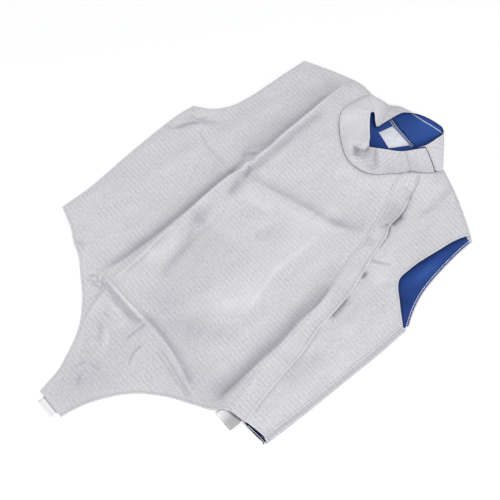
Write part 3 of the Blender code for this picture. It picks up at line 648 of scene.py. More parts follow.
def spline(table, at):
    """Rows of a table read at fractional row numbers, on a smooth curve through all of them."""
    knots = np.vstack([2 * table[0] - table[1], table, 2 * table[-1] - table[-2]])
    i = np.minimum(at.astype(int), len(table) - 2)
    t = (at - i)[:, None]
    p0, p1, p2, p3 = (knots[i + k] for k in range(4))
    return 0.5 * (2 * p1 + (p2 - p0) * t + (2 * p0 - 5 * p1 + 4 * p2 - p3) * t ** 2
                  + (3 * p1 - p0 - 3 * p2 + p3) * t ** 3)


def resample(points, step):
    """Points every step or so along a smooth curve through a short table of points."""
    table = np.array(points, float)
    at = [np.array([len(table) - 1.0])]
    for i, run in enumerate(stretches(table[:, :2])):
        at.insert(-1, i + np.linspace(0, 1, max(1, round(run / step)), endpoint=False))
    return spline(table, np.concatenate(at))


def nearest_on_line(line, x, y):
    """Distance of points to a polyline, the side they lie on, the third column there and how far along."""
    best = np.full(np.shape(x), 1e9)
    side, value, along = np.zeros((3, *np.shape(x)))
    reached = run_along(line[:, :2])
    reached = reached / reached[-1]
    for i, (a, b) in enumerate(zip(line[:-1], line[1:])):
        run = b[:2] - a[:2]
        t = np.clip(((x - a[0]) * run[0] + (y - a[1]) * run[1]) / (run @ run), 0.0, 1.0)
        away_x = x - a[0] - t * run[0]
        away_y = y - a[1] - t * run[1]
        distance = np.hypot(away_x, away_y)
        closer = distance < best
        best = np.where(closer, distance, best)
        side = np.where(closer, np.sign(run[0] * away_y - run[1] * away_x), side)
        along = np.where(closer, reached[i] + t * (reached[i + 1] - reached[i]), along)
        if len(a) > 2:
            value = np.where(closer, a[2] + t * (b[2] - a[2]), value)
    return best, side, value, along


def from_edges(x, y, *tables):
    """Distance of points to the nearest of some smooth lines."""
    lines = [resample(table, LONG_EDGE_STEP) for table in tables]
    return np.minimum.reduce([nearest_on_line(line, x, y)[0] for line in lines])


def from_outline(outline, x, y):
    """Distance of points to a closed outline."""
    return nearest_on_line(np.vstack([outline, outline[:1]]), x, y)[0]


def x_at(line, y):
    """x of a line that runs up or down the vest, at height y on the cloth."""
    table = resample(line, READING_STEP)
    order = np.argsort(table[:, 1])
    return np.interp(y, table[order, 1], table[order, 0])


def beside(points, distance):
    """A line moved to its own left by a distance."""
    line = np.array(points, float)[:, :2]
    return line + to_left(unit(np.gradient(line, axis=0))) * distance


def rounded(fraction):
    """A quarter circle: 0 at an edge, 1 where the cloth has come to its full height."""
    return np.sqrt(1.0 - (1.0 - np.clip(fraction, 0, 1)) ** 2)


# %% [markdown]
# ## How high the cloth lies
# The cloth's form is a height for each place in the drawing. The main folds keep a crest, rounded by the
# cloth's own thickness, and the loose creases and faint ripples are added to them. Near a sewn edge the
# cloth is held down, so all of it fades there.

# %% Folds, creases and ripples
FOLD_STEP = 10.0
MARK_STEP = 7.0
MARK_MARGIN = 4.5


def tent(distance, reach):
    """1 on a crest and less beside it, with a top as round as the cloth is thick."""
    return np.exp(-(np.hypot(distance, CREST_RADIUS) - CREST_RADIUS) / reach)


def fold_height(x, y):
    total = np.zeros(np.shape(x))
    for crest, reach_left, reach_right in FOLDS:
        distance, side, height, _ = nearest_on_line(resample(crest, FOLD_STEP), x, y)
        total = total + (height * tent(distance, np.where(side > 0, reach_left, reach_right))) ** 3
    return np.cbrt(total)


def marks(rows, x, y, taper=0.3, sharp=1.5):
    """Creases, or streaks of painted light and shade, added up: each fades away from its line and towards
    its ends.
    """
    total = np.zeros(np.shape(x))
    for height, reach_left, reach_right, points in rows:
        line = resample(points, MARK_STEP)[:, :2]
        margin = MARK_MARGIN * max(reach_left, reach_right)
        low, high = line.min(axis=0) - margin, line.max(axis=0) + margin
        near = (x > low[0]) & (x < high[0]) & (y > low[1]) & (y < high[1])
        distance, side, _, along = nearest_on_line(line, x[near], y[near])
        ends = smoothstep(0.0, taper, along) * (1.0 - smoothstep(1.0 - taper, 1.0, along))
        fade = np.exp(-(distance / np.where(side > 0, reach_left, reach_right)) ** sharp)
        total[near] += height * fade * (0.25 + 0.75 * ends)
    return total


def ripples(x, y, lengths, size, seed):
    """Faint dents of several lengths in directions drawn once from a fixed seed."""
    dice = np.random.default_rng(seed)
    total = np.zeros(np.shape(x))
    for length in lengths:
        turn, phase = dice.uniform(0.0, math.tau, 2)
        along = x * math.cos(turn) + y * math.sin(turn)
        across = y * math.cos(turn) - x * math.sin(turn)
        bend = 1.4 * np.sin(across * math.tau / (2.3 * length))
        total += length * np.sin(along * math.tau / length + phase + bend)
    return size * total / sum(lengths)


# %% [markdown]
# The collar's stations come next, because its stiff foot props up the front round the throat. A row is a
# station: where the foot stands, where the top edge is, and how much the wall bulges between them.

# %% Collar stations, columns base x, y, top x, y, z and bulge
COLLAR_FRONT = [
    (94, 322, 67, 318, 61, 2),
    (81.5, 306, 58, 303, 61, 2),
    (68, 291, 48, 288, 59, 2),
    (59.5, 275, 39, 279, 58, 3),
    (49, 262, 28, 272, 56, 4),
    (37, 246, 16, 266, 51, 4),
    (21, 234, 4, 261, 44, 2),
    (3.5, 228, -8, 261, 35, 3),
    (-15.5, 227, -12, 268, 33, 5),
    (-35, 234, -16, 275, 32, 5),
    (-55, 246, -27, 285, 30, 5),
    (-75, 261, -41, 298, 29, 5),
    (-89, 278, -53, 311, 28, 2),
]
COLLAR_RIGHT = [
    (-94, 294, -53, 314, 28, 3),
    (-95, 312, -52.5, 316.5, 27.5, 5),
    (-93, 330, -51, 318, 27, 8),
    (-86, 345, -46, 316, 26, 11),
    (-75, 353, -37, 309, 25, 14),
    (-61, 356, -28, 303, 25, 15),
    (-48, 355, -24, 314, 30, 15),
    (-36, 353, -17, 339, 40, 13),
]
COLLAR_BACK = [
    (-22, 349, -12, 352, 39, 12),
    (-4, 344, 1, 366, 35, 7),
    (22, 338, 22, 375, 33, 1),
    (52, 338, 38, 378, 34, 1),
    (78, 338, 50, 379, 35, 2),
    (97, 338, 59, 371, 39, 2),
]
COLLAR_LEFT = [
    (98, 331, 61, 351, 46, 2),
    (91, 324, 61, 328, 52, 1),
    (80, 310.5, 54, 309, 53, 1),
]
TAB_SEAM_ROW = 2
RIGHT_FRONT_ROW = len(COLLAR_FRONT) - 1
SHOULDER_ROW = RIGHT_FRONT_ROW + 4
RIGHT_SIDE_ROW = RIGHT_FRONT_ROW + len(COLLAR_RIGHT)
LEFT_FOLD_ROW = RIGHT_SIDE_ROW + len(COLLAR_BACK)
LAST_ROW = LEFT_FOLD_ROW + len(COLLAR_LEFT)
COLLAR_CENTRE = (-15.0, 310.0)
COLLAR_WALL = 1.2
LINING_DEPTH = COLLAR_WALL + 2 * SEAM_GAP
SWELL_UP = 0.35
FINE_COLUMNS = 20
collar_rows = np.array(COLLAR_FRONT + COLLAR_RIGHT + COLLAR_BACK + COLLAR_LEFT, float)
print("collar stations:", len(collar_rows))

# %% The heights of the two fronts and the flap
NECK_LIFT = 7.0
NECK_LIFT_REACH = 34.0
SHOULDER_RISE = 14.0
SIDE_RISE = 26.0
ON_WEBBING = 2.66
OVER_LINING = LINING_TOP + 0.2
OFF_TABLE = 0.05
FLAP_CURLS = [
    # height, place down the flap, half length
    (7.0, 215, 34.0),
    (3.5, 112, 14.0),
    (4.0, 52, 22.0),
    (1.5, -60, 50.0),
]


def neck_lift(x, y):
    """The collar's stiff foot props the cloth up round the throat."""
    distance = nearest_on_line(np.array(COLLAR_FRONT, float)[:, :2], x, y)[0]
    return NECK_LIFT * bell(distance, NECK_LIFT_REACH) * (1.0 - 0.75 * smoothstep(285, 345, y))


def left_top(x, y):
    """The narrow left front, which swells towards the folded side."""
    swell = (SEAM_ON_TOP - LEFT_FRONT_LOW) * smoothstep(150, 235, x) * (1.0 - smoothstep(150, 290, y))
    belly = 2.0 * np.exp(-((x - 222) / 26.0) ** 2 - ((y + 30) / 120.0) ** 2)
    distance, side, ridge, _ = nearest_on_line(resample(LEFT_RIDGE, FOLD_STEP), x, y)
    ridge = ridge * tent(distance, np.where(side > 0, 26.0, 13.0))
    height = LEFT_FRONT_LOW + swell + belly + ridge + neck_lift(x, y)
    return SEWN_EDGE + (height - SEWN_EDGE) * rounded(from_edges(x, y, LEFT_SHOULDER) / SHOULDER_RISE)


def left_surface(x, y):
    """The left front with its creases, which stop under the flap and at the seams."""
    loose = smoothstep(1, 12, x - x_at(FLY_EDGE, y)) * (1.0 - smoothstep(244, 256, x))
    loose = loose * smoothstep(2, 16, from_edges(x, y, LEFT_SHOULDER))
    fine = marks(LEFT_CREASES, x, y) + ripples(x, y, (97, 61, 43, 29, 17), 1.5, 11)
    return np.maximum(left_top(x, y) + fine * loose, OVER_LINING + CLOTH_WALL)


def front_top(x, y):
    """The wide front with its folds, its sewn edges and the crotch tab, as the solid has it."""
    height = FRONT_LOW + fold_height(x, y) + neck_lift(x, y)
    near_fly = smoothstep(-50 + 18 * smoothstep(110, 30, y), -5, x - x_at(FLY_SEAM, y))
    on_fly = left_top(x, y) + SOLID_FRONT_WALL + SEAM_GAP
    height = height + (on_fly - height) * near_fly
    edge = from_edges(x, y, RIGHT_SIDE, RIGHT_SHOULDER)
    height = SEWN_EDGE + (height - SEWN_EDGE) * rounded(edge / SIDE_RISE)
    low = SOLID_FRONT_WALL + 0.8 * fold_height(x, y) * smoothstep(-300, -225, y)
    low = low + ON_WEBBING * (1.0 - smoothstep(-386, -358, y))
    return low + (height - low) * smoothstep(-236, -200, y)


def front_surface(x, y):
    """The wide front with its creases as well, kept clear of the lining below it."""
    edge = from_edges(x, y, RIGHT_SIDE, RIGHT_SHOULDER)
    loose = smoothstep(1, 14, edge) * (1.0 - smoothstep(-16, -3, x - x_at(FLY_SEAM, y)))
    body = smoothstep(-250, -205, y)
    fine = marks(FRONT_CREASES, x, y)
    fine = fine + ripples(x, y, (131, 89, 61, 43, 31, 19), 1.7, 5) * (0.3 + 0.7 * body)
    floor_below = OVER_LINING * smoothstep(-212, -199, y)
    return np.maximum(front_top(x, y) + fine * loose, floor_below + OFF_TABLE + CLOTH_WALL)


def flap_lift(across, y):
    """How far the fly's free edge curls up, across from 0 at its seam to 1 at its edge."""
    curl = sum(height * bell(y - place, half) for height, place, half in FLAP_CURLS)
    wave = 1.3 * np.sin(y / 5.5) * bell(y - 225, 45.0)
    return (curl + wave) * across ** 2


# %% [markdown]
# ## From a drawing to a thin shell
# A panel is an outline filled with small triangles, lifted to its height, with a second skin one thickness
# below. Extra rows of points beside the edge let the hem be thicker than the cloth and dip where it is
# stitched. Each point keeps its place in the flat cut as a UV, and a value of painted light and shade that
# makes its colour paler or darker.

# %% Outlines and triangles
GRID_STEP = 2.8
HEM_ROWS = (0.9, 2.2, 3.5, 4.8)
HEM_STITCH = 3.5
HEM_THICKER = 0.45
HEM_DIP = 0.25
# how dark the painted shade in the hem's stitch groove is
HEM_GROOVE_SHADE = 0.3
RIM_ROUND = 0.35
SHARP_ANGLE = math.radians(55)


def inside(polygon, x, y):
    hit = np.zeros(np.shape(x), bool)
    for a, b in zip(polygon, np.roll(polygon, -1, axis=0)):
        if a[1] != b[1]:
            crosses = (a[1] > y) != (b[1] > y)
            hit ^= crosses & (x < (b[0] - a[0]) * (y - a[1]) / (b[1] - a[1]) + a[0])
    return hit


def inward_normals(outline):
    """The direction at each corner of an outline that halves its angle on the inner side."""
    edges = unit(np.roll(outline, -1, axis=0) - outline)
    return to_left(unit(edges + np.roll(edges, 1, axis=0)))


def polygon_area(outline):
    x, y = outline.T
    return 0.5 * float(np.sum(x * np.roll(y, -1) - np.roll(x, -1) * y))


def join(*parts, closest=1.6):
    """One closed outline from stretches that follow each other, without doubled corners."""
    points = [np.array(parts[0][0][:2], float)]
    for part in parts:
        for p in part:
            if np.hypot(*(np.array(p[:2]) - points[-1])) > closest:
                points.append(np.array(p[:2], float))
    if np.hypot(*(points[0] - points[-1])) < closest:
        points.pop()
    outline = np.array(points)
    return outline if polygon_area(outline) > 0 else outline[::-1]


def flat_mesh(outline, step, rows=(), lines=()):
    """Triangles that fill an outline, on a staggered grid, with rows beside the edge and on given lines."""
    xs = np.arange(outline[:, 0].min(), outline[:, 0].max(), step)
    ys = np.arange(outline[:, 1].min(), outline[:, 1].max(), step * 0.866)
    across, up = np.meshgrid(xs, ys)
    across = across + (np.arange(len(ys)) % 2)[:, None] * step / 2
    grid = np.column_stack([across.ravel(), up.ravel()])
    grid = grid[inside(outline, *grid.T)]
    extra = []
    for distance in rows:
        row = outline + inward_normals(outline) * distance
        clear = from_outline(outline, *row.T) > distance * 0.93
        extra.append(row[clear & inside(outline, *row.T)])
    margin = max(rows, default=0.0) + step * 0.5
    grid = grid[from_outline(outline, *grid.T) > margin]
    runs = []
    for line in lines:
        runs.append(line[from_outline(outline, *line.T) > margin])
        grid = grid[nearest_on_line(line, *grid.T)[0] > step * 0.45]
    points = np.vstack([outline, *extra, *runs, grid])
    edges = [(i, (i + 1) % len(outline)) for i in range(len(outline))]
    start = len(outline) + sum(len(row) for row in extra)
    for run in runs:
        edges += [(start + i, start + i + 1) for i in range(len(run) - 1)]
        start += len(run)
    found = delaunay_2d_cdt([Vector(p) for p in points], edges, [list(range(len(outline)))], 1, 1e-4)
    return np.array([tuple(v) for v in found[0]]), np.array([tuple(f) for f in found[2]])


# %% Shells


def shell(name, upper, lower, faces, cloth, cut, light_and_shade_paint=None):
    """A closed thin wall between two like skins, in millimetres; faces see +Z from above."""
    count = len(upper)
    edges = faces[:, [0, 1, 1, 2, 2, 0]].reshape(-1, 2)
    there = edges[:, 0] * count + edges[:, 1]
    back_again = edges[:, 1] * count + edges[:, 0]
    rim = edges[~np.isin(there, back_again)]
    a, b = rim.T
    sides = np.vstack([np.column_stack([b, a, a + count]), np.column_stack([b, a + count, b + count])])
    solid = np.vstack([faces, faces[:, ::-1] + count, sides])
    mesh = bpy.data.meshes.new(name)
    mesh.from_pydata((np.vstack([upper, lower]) * MM).tolist(), [], solid.tolist())
    mesh.materials.append(cloth)
    corner = np.zeros(len(mesh.loops), int)
    mesh.loops.foreach_get("vertex_index", corner)
    both = np.vstack([cut, cut]) * MM
    mesh.uv_layers.new(name="cut").data.foreach_set("uv", both[corner].ravel())
    # the value of painted light and shade: the finish paints a highlight where it is positive and shade
    # where it is negative
    painted_light_amount = np.zeros(count) if light_and_shade_paint is None else light_and_shade_paint
    layer = mesh.attributes.new("light_and_shade_paint", "FLOAT", "POINT")
    layer.data.foreach_set("value", np.concatenate([painted_light_amount, painted_light_amount]))
    mesh.shade_smooth()
    mesh.set_sharp_from_angle(angle=SHARP_ANGLE)
    print(f"{name}: {len(mesh.polygons)} triangles")
    return place(name, mesh)


def grid_faces(rows, columns):
    a = (np.arange(rows - 1)[:, None] * columns + np.arange(columns - 1)).ravel()
    return np.vstack([np.column_stack([a, a + 1, a + columns + 1]),
                      np.column_stack([a, a + columns + 1, a + columns])])


def grid_shell(name, upper, lower, cloth, cut, light_and_shade_paint=None):
    """A closed thin wall from two grids of points, rows by columns."""
    faces = grid_faces(*upper.shape[:2])
    painted_light_amount = None if light_and_shade_paint is None else light_and_shade_paint.ravel()
    return shell(name, upper.reshape(-1, 3), lower.reshape(-1, 3), faces, cloth, cut.reshape(-1, 2), painted_light_amount)


def hem_profile(edge):
    """A turned hem is thicker than the cloth and dips where the needle went."""
    turned = HEM_THICKER * (1.0 - smoothstep(HEM_STITCH, HEM_STITCH + 1.5, edge))
    return turned - HEM_DIP * bell(edge - HEM_STITCH, 0.7)


def panel(name, outline, surface, wall, cloth, step=GRID_STEP, rows=HEM_ROWS, lines=(), light_and_shade_paint=None):
    """An outline filled with triangles, lifted to a height surface and given its wall and its hem."""
    flat, faces = flat_mesh(outline, step, rows, lines)
    x, y = flat.T
    edge = from_outline(outline, x, y)
    z = surface(x, y)
    rim = RIM_ROUND * (1.0 - smoothstep(0.0, 0.8, edge))
    upper = np.column_stack([x, y, z + hem_profile(edge) - rim])
    lower = np.column_stack([x, y, z - wall + rim])
    # painted shade in the hem's stitch groove, plus the piece's own painted light and shade
    painted_light_amount = -HEM_GROOVE_SHADE * bell(edge - HEM_STITCH, 0.6)
    if light_and_shade_paint:
        painted_light_amount = painted_light_amount + light_and_shade_paint(x, y)
    return shell(name, upper, lower, faces, cloth, flat, painted_light_amount)


# %% [markdown]
# ## The wide front
# One piece covers the body from the wearer's right side to the fly, and ends in the crotch tab. Points lie
# along the crests of the main folds, so that the crest is a clean line and not a row of steps.

# %% Edges of the wide front, and their painted light and shade
OUTLINE_STEP = 3.5
COLLAR_FOOT = [row[:2] for row in COLLAR_FRONT]


def inset(points, dx, dy=0.0):
    return np.array([(p[0] + dx, p[1] + dy) for p in points])


def crotch_edge(side):
    """One edge of the crotch tab, from its end upwards."""
    return [(CROTCH_CENTRE * smoothstep(-330, -400, y) + side * half, y) for y, half in CROTCH]


def throat_seam(inward):
    """The neck edge of the front, just inside the collar's foot."""
    base = resample(collar_rows[TAB_SEAM_ROW:SHOULDER_ROW + 1, :2], 4.0)
    towards = np.array(COLLAR_CENTRE) - base
    return base + inward * towards / np.linalg.norm(towards, axis=1)[:, None]


def foot_shade(x, y):
    """A painted shadow along the line where the collar's foot meets the cloth below it."""
    distance = nearest_on_line(resample(COLLAR_FOOT, 4.0), x, y)[0]
    return -1.0 * bell(distance, 1.2)


# painted light and shade on the wide front, with the painted shadow at the collar's foot
def front_painted_light(x, y):
    return marks(FRONT_PAINTED_LIGHT, x, y, 0.1, 2.0) + foot_shade(x, y)


# painted light and shade on the left front, with the painted shadow at the collar's foot
def left_painted_light(x, y):
    return marks(LEFT_PAINTED_LIGHT, x, y, 0.15, 2.0) + foot_shade(x, y)


# %% The wide front
front_outline = join(
    resample(crotch_edge(-1) + HEM_RIGHT, OUTLINE_STEP), resample(RIGHT_SIDE, OUTLINE_STEP),
    resample(RIGHT_ARMHOLE, OUTLINE_STEP), resample(RIGHT_SHOULDER, OUTLINE_STEP), throat_seam(3.0)[::-1],
    resample(FLY_SEAM, OUTLINE_STEP), resample(HEM_LEFT[::-1] + crotch_edge(1)[::-1], OUTLINE_STEP))
crests = [resample(fold[0], GRID_STEP)[:, :2] for fold in FOLDS]
front = panel("front", front_outline, front_surface, CLOTH_WALL, silver, lines=crests, light_and_shade_paint=front_painted_light)

# %% [markdown]
# ## The narrow front at the wearer's left
# It starts under the fly, goes up to the shoulder and down the armhole, and meets the back's cloth that is
# folded round the side.

# %% The narrow front
under_fly = inset(resample(FLY_SEAM[1:], OUTLINE_STEP), -6.0, 3.0)
neck_edge = inset(COLLAR_FRONT[TAB_SEAM_ROW::-1], -1.5, 1.0)
left_outline = join(
    under_fly[::-1], resample(neck_edge, OUTLINE_STEP), [(96, 337)], resample(LEFT_SHOULDER, OUTLINE_STEP),
    resample(LEFT_FRONT_ARMHOLE, OUTLINE_STEP), resample(SIDE_SEAM, OUTLINE_STEP), LEFT_HEM[::-1],
    [(200, -193)])
left = panel("left_front_cloth", left_outline, left_surface, CLOTH_WALL, silver, light_and_shade_paint=left_painted_light)

# %% [markdown]
# ## The fly flap
# The flap is sewn down along the fly seam and its free edge curls and waves. A grid from seam to edge suits
# it: rows go down the fly, and columns go across.

# %% The fly flap
FLAP_WALL = 1.5
FLAP_LENGTH = 500
FLAP_STEP = 2.4
FLAP_COLUMNS = 15


def flap_surface(x, y, across):
    base = left_top(x, y) + SEAM_GAP + SOLID_FRONT_WALL + flap_lift(across, y)
    fine = marks(FLAP_CREASES, x, y) + ripples(x, y, (41, 27, 17), 0.9, 23)
    return base + fine * smoothstep(0.05, 0.4, across)


fly_edge = resample(FLY_EDGE, FLAP_STEP)
fly_seam = resample(FLY_SEAM, 2.0)
level = np.linspace(fly_edge[0, 1], fly_edge[-1, 1], round(FLAP_LENGTH / FLAP_STEP))
seam_level = np.linspace(fly_seam[0, 1], fly_seam[-1, 1], len(level))
fly_edge = np.column_stack([np.interp(-level, -fly_edge[:, 1], fly_edge[:, 0]), level])
fly_seam = np.column_stack([np.interp(-seam_level, -fly_seam[:, 1], fly_seam[:, 0]) + SEAM_GAP, seam_level])
across = np.linspace(0.0, 1.0, FLAP_COLUMNS)
flap_flat = fly_seam[:, None, :] + (fly_edge - fly_seam)[:, None, :] * across[None, :, None]
flap_width = np.linalg.norm(fly_edge - fly_seam, axis=1)[:, None]
from_edge = flap_width * (1.0 - across)[None, :]
flap_z = flap_surface(flap_flat[..., 0], flap_flat[..., 1], across[None, :] * np.ones_like(flap_width))
rim = RIM_ROUND * (1.0 - smoothstep(0.0, 0.8, from_edge))
flap_upper = np.dstack([flap_flat, flap_z + hem_profile(from_edge) - rim])
flap_lower = np.dstack([flap_flat, flap_z - FLAP_WALL + rim])

# %% Painted light and shade on the flap
rim_shine = np.interp(-level, *zip(*RIM_SHINE))[:, None]
# a painted highlight or painted shade along the free rim, painted shade in the stitch groove and in the
# flap's creases, and the painted shadow at the collar's foot
flap_painted_light = rim_shine * bell(from_edge, 1.3) - 0.4 * bell(from_edge - HEM_STITCH, 0.8)
flap_painted_light = flap_painted_light + marks(FLAP_PAINTED_LIGHT, flap_flat[..., 0], flap_flat[..., 1], 0.2, 2.0)
flap_painted_light = flap_painted_light + foot_shade(flap_flat[..., 0], flap_flat[..., 1])
flap = grid_shell("flap", flap_upper[::-1], flap_lower[::-1], silver, flap_flat[::-1], flap_painted_light[::-1])

# %% [markdown]
# ## The back
# The back lies face down on the table and turns up round the wearer's left side, where it shows as a narrow
# strip. The turn is worked out as an arc: a place in the flat cut goes round the arc and then on top. The
# side on the table has creases too, placed by guess, as troughs shallower than the cloth.

# %% The back
BACK_WALL = 1.2
BACK_STEP = 5.0
FOLD_STEPS = 14
turn_radius = SIDE_FOLD_RADIUS - BACK_WALL / 2


def side_wrap(x, y, radius):
    """A place in the flat cut after the turn, on the skin that lies at this radius."""
    turn_x = x_at(LEFT_SIDE, y) - SIDE_FOLD_RADIUS
    along = np.maximum(x - turn_x, 0.0)
    angle = np.minimum(along / turn_radius, math.pi)
    flat_run = np.maximum(along - turn_radius * math.pi, 0.0)
    px = np.minimum(x, turn_x) + radius * np.sin(angle) - flat_run
    return np.column_stack([px, y, SIDE_FOLD_RADIUS - radius * np.cos(angle)])


def fold_row(step, y):
    """x in the flat cut, after step of the FOLD_STEPS that the side fold turns through."""
    return x_at(LEFT_SIDE, y) - SIDE_FOLD_RADIUS + turn_radius * math.pi * step / FOLD_STEPS


def wrapped_side():
    """The back's left edge in its flat cut: across the fold at the pit, down the seam, back at the hem."""
    steps = np.arange(FOLD_STEPS)
    pit = np.column_stack([fold_row(steps, np.full(FOLD_STEPS, PIT_Y)), PIT_Y - 0.2 * steps])
    hem = np.column_stack([fold_row(steps, np.full(FOLD_STEPS, HEM_Y)), HEM_Y + 0.2 * steps])[::-1]
    y = np.linspace(PIT_Y - 3, HEM_Y + 3, 70)
    turn_x = x_at(LEFT_SIDE, y) - SIDE_FOLD_RADIUS
    seam = np.column_stack([fold_row(FOLD_STEPS, y) + turn_x - x_at(SIDE_SEAM, y) - SEAM_GAP, y])
    return [*pit, *seam, *hem]


BACK_CREASES = [
    # depth, reach on the left, reach on the right, points
    (0.6, 5, 9, [(-124, 320), (-122, 200), (-116, 60), (-112, -60), (-104, -180)]),
    (0.5, 9, 5, [(138, 300), (146, 120), (152, -20), (160, -170)]),
    (0.5, 6, 7, [(-240, 84), (-150, 76), (-60, 92), (40, 118), (150, 122)]),
    (0.35, 7, 5, [(-230, -96), (-120, -86), (-20, -98), (110, -88)]),
    (0.4, 5, 5, [(-190, 250), (-160, 190), (-130, 120)]),
    (0.35, 6, 4, [(60, 40), (40, -20), (44, -80)]),
    (0.3, 4, 6, [(-60, 20), (-40, -40), (-52, -130)]),
    (0.35, 5, 5, [(190, 60), (206, 0), (200, -70)]),
]
DEEPEST_CREASE = 0.7
BACK_EDGE_STEP = 6.0
BACK_HEM_STEP = 8.0
back_edges = [resample(table, BACK_EDGE_STEP) for table in
              (RIGHT_SIDE, RIGHT_ARMHOLE, RIGHT_SHOULDER, BACK_NECK, LEFT_SHOULDER, LEFT_BACK_ARMHOLE)]
back_edges[-1] = back_edges[-1][:-1]


def make_back():
    side, armhole, shoulder, *others = back_edges
    outline = join(inset(side, 0.6), inset(armhole, 1.6), inset(shoulder, 0, -0.6), *others, wrapped_side(),
                   resample(BACK_HEM[1:], BACK_HEM_STEP))
    y = np.linspace(PIT_Y - 7, HEM_Y + 7, 60)
    turns = [np.column_stack([fold_row(np.full(60, k), y), y]) for k in range(FOLD_STEPS + 1)]
    flat, faces = flat_mesh(outline, BACK_STEP, (1.5, 3.5), turns)
    x, y = flat.T
    edge = from_outline(outline, x, y)
    rim = RIM_ROUND * (1.0 - smoothstep(0.0, 1.2, edge))
    upper = side_wrap(x, y, SIDE_FOLD_RADIUS - BACK_WALL + rim)
    folded = np.clip(marks(BACK_CREASES, x, y), 0.0, DEEPEST_CREASE)
    lower = side_wrap(x, y, SIDE_FOLD_RADIUS - rim - folded)
    wrapped = smoothstep(-4, 4, x - x_at(LEFT_SIDE, y) + SIDE_FOLD_RADIUS)
    # painted shade in the hem's stitch groove, on the side strip turned up round the fold and in the creases
    # underneath
    light_and_shade_paint = -0.5 * bell(edge - HEM_STITCH, 0.8) - 0.12 * wrapped - 0.4 * folded
    return shell("back_cloth", upper, lower, faces, silver, flat, light_and_shade_paint), outline


back, back_outline = make_back()

# %% [markdown]
# ## The lining of the back
# The blue lining shows in the left armhole, in the neck and in the hem slit. Where the front doesn't press
# on it, it puckers a little.

# %% The lining of the back
NECK_SEAM = [(-30, 341.5), (-12, 338), (8, 336), (30, 334)]
LINING_PUFF = 0.4
LINING_MOST = 1.6
LINING_SETBACK = 1.8
LINING_SETBACK_SIDE = 11.0
LINING_SETBACK_SHOULDER = 7.0
LINING_CREASES = [
    # height, reach on the left, reach on the right, points
    (1.2, 3, 6, [(212, 262), (210, 230), (206, 196), (208, 168)]),
    (0.9, 3, 4, [(216, 214), (212, 190), (214, 170)]),
    (1.0, 4, 4, [(206, 150), (218, 142), (232, 138)]),
    (0.8, 3, 5, [(228, 128), (240, 118), (252, 108)]),
    (0.7, 3, 4, [(-66, 338), (-52, 326), (-44, 312)]),
]


def lining_painted_light(x, y):
    """Painted shade on the lining beside the front's edge, at the hem slit, along the neck seam and in a
    patch by the armhole, and a painted highlight where it swells and towards the nape.
    """
    arm = nearest_on_line(resample(LEFT_FRONT_ARMHOLE, 6.0), x, y)[0]
    shade = -0.6 * bell(arm, 3.5) * (y > 100) + 0.25 * smoothstep(280, 310, y)
    shade = shade - 0.9 * (1.0 - smoothstep(-186, -170, y)) * smoothstep(190, 205, x)
    throat = nearest_on_line(np.array(NECK_SEAM, float), x, y)[0]
    shade = shade - 0.4 * bell(throat - 2.0, 2.5)
    belly = 0.3 * np.exp(-((x - 214) / 8.0) ** 2 - ((y - 190) / 30.0) ** 2)
    return shade + belly - 0.3 * np.exp(-((x - 226) / 12.0) ** 2 - ((y - 128) / 14.0) ** 2)


def lining_surface(x, y):
    open_arm = smoothstep(0.5, 9, x - x_at(LEFT_FRONT_ARMHOLE, y)) * smoothstep(100, 112, y)
    open_neck = smoothstep(-60, -50, x) * smoothstep(300, 318, y) * (1 - smoothstep(-32, -24, x))
    open_place = np.maximum(open_arm, open_neck)
    fine = marks(LINING_CREASES, x, y) + LINING_PUFF + ripples(x, y, (23, 15, 11), 0.5, 31)
    return LINING_TOP + np.clip(fine, 0.0, LINING_MOST) * open_place


def make_lining():
    flat_side = inset(resample(LEFT_SIDE, BACK_EDGE_STEP), 2.0 - SIDE_FOLD_RADIUS)
    outline = join(*back_edges, flat_side, resample(BACK_HEM, BACK_HEM_STEP))
    x, y = outline.T
    side = smoothstep(-200, -214, x) * (1.0 - smoothstep(96, 110, y))
    shoulder = smoothstep(80, 95, np.abs(x)) * smoothstep(278, 288, y)
    tip = smoothstep(-194, -204, x) * smoothstep(244, 256, y)
    setback = LINING_SETBACK + (LINING_SETBACK_SIDE - LINING_SETBACK) * side
    setback = setback + (LINING_SETBACK_SHOULDER - LINING_SETBACK) * shoulder + 5.0 * tip
    outline = outline + inward_normals(outline) * setback[:, None]
    made = panel("lining_cloth", outline, lining_surface, LINING_WALL, blue, 3.6, (1.2,), light_and_shade_paint=lining_painted_light)
    return made, outline


lining, lining_outline = make_lining()

# %% [markdown]
# ## The collar
# The collar is one stiff band. It starts at the tab under the chin, goes round the throat, makes a tight
# turn at the wearer's right, passes behind the neck and ends under the tab. A ruled surface from foot to top
# edge follows the stations; the pinch at the throat and the seams are pressed in along its own normals.

# %% The collar's outer face
COLLAR_LINES = 22
CLOTH_CURVE = 330.0


def blurred(directions, width):
    """Directions along a line, each turned towards the mean of its neighbours."""
    padded = np.pad(directions, ((width, width), (0, 0)), mode="edge")
    weights = np.hanning(2 * width + 3)[1:-1]
    mixed = [np.convolve(column, weights / weights.sum(), mode="valid") for column in padded.T]
    return unit(np.stack(mixed, axis=1))


def collar_face(up, foot_z):
    """The smooth outer face and its normals, at heights from 0 at the foot to 1, on fine columns."""
    table = np.column_stack([collar_rows[:, :2], foot_z, collar_rows[:, 2:]])
    here = spline(table, np.linspace(0, LAST_ROW, FINE_COLUMNS * LAST_ROW + 1))
    foot, head = here[:, :3], here[:, 3:6]
    away = unit(foot[:, :2] - np.array(COLLAR_CENTRE))
    swell = np.column_stack([away, np.full(len(away), SWELL_UP)]) * here[:, 6:]
    up = np.array(up)[:, None, None]
    face = foot + (head - foot) * up + swell * 4 * up * (1 - up)
    rise = head - foot + swell * 4 * (1 - 2 * up)
    normals = np.cross(rise, np.gradient(face, axis=1))
    return face, np.stack([blurred(unit(line), FINE_COLUMNS) for line in normals])


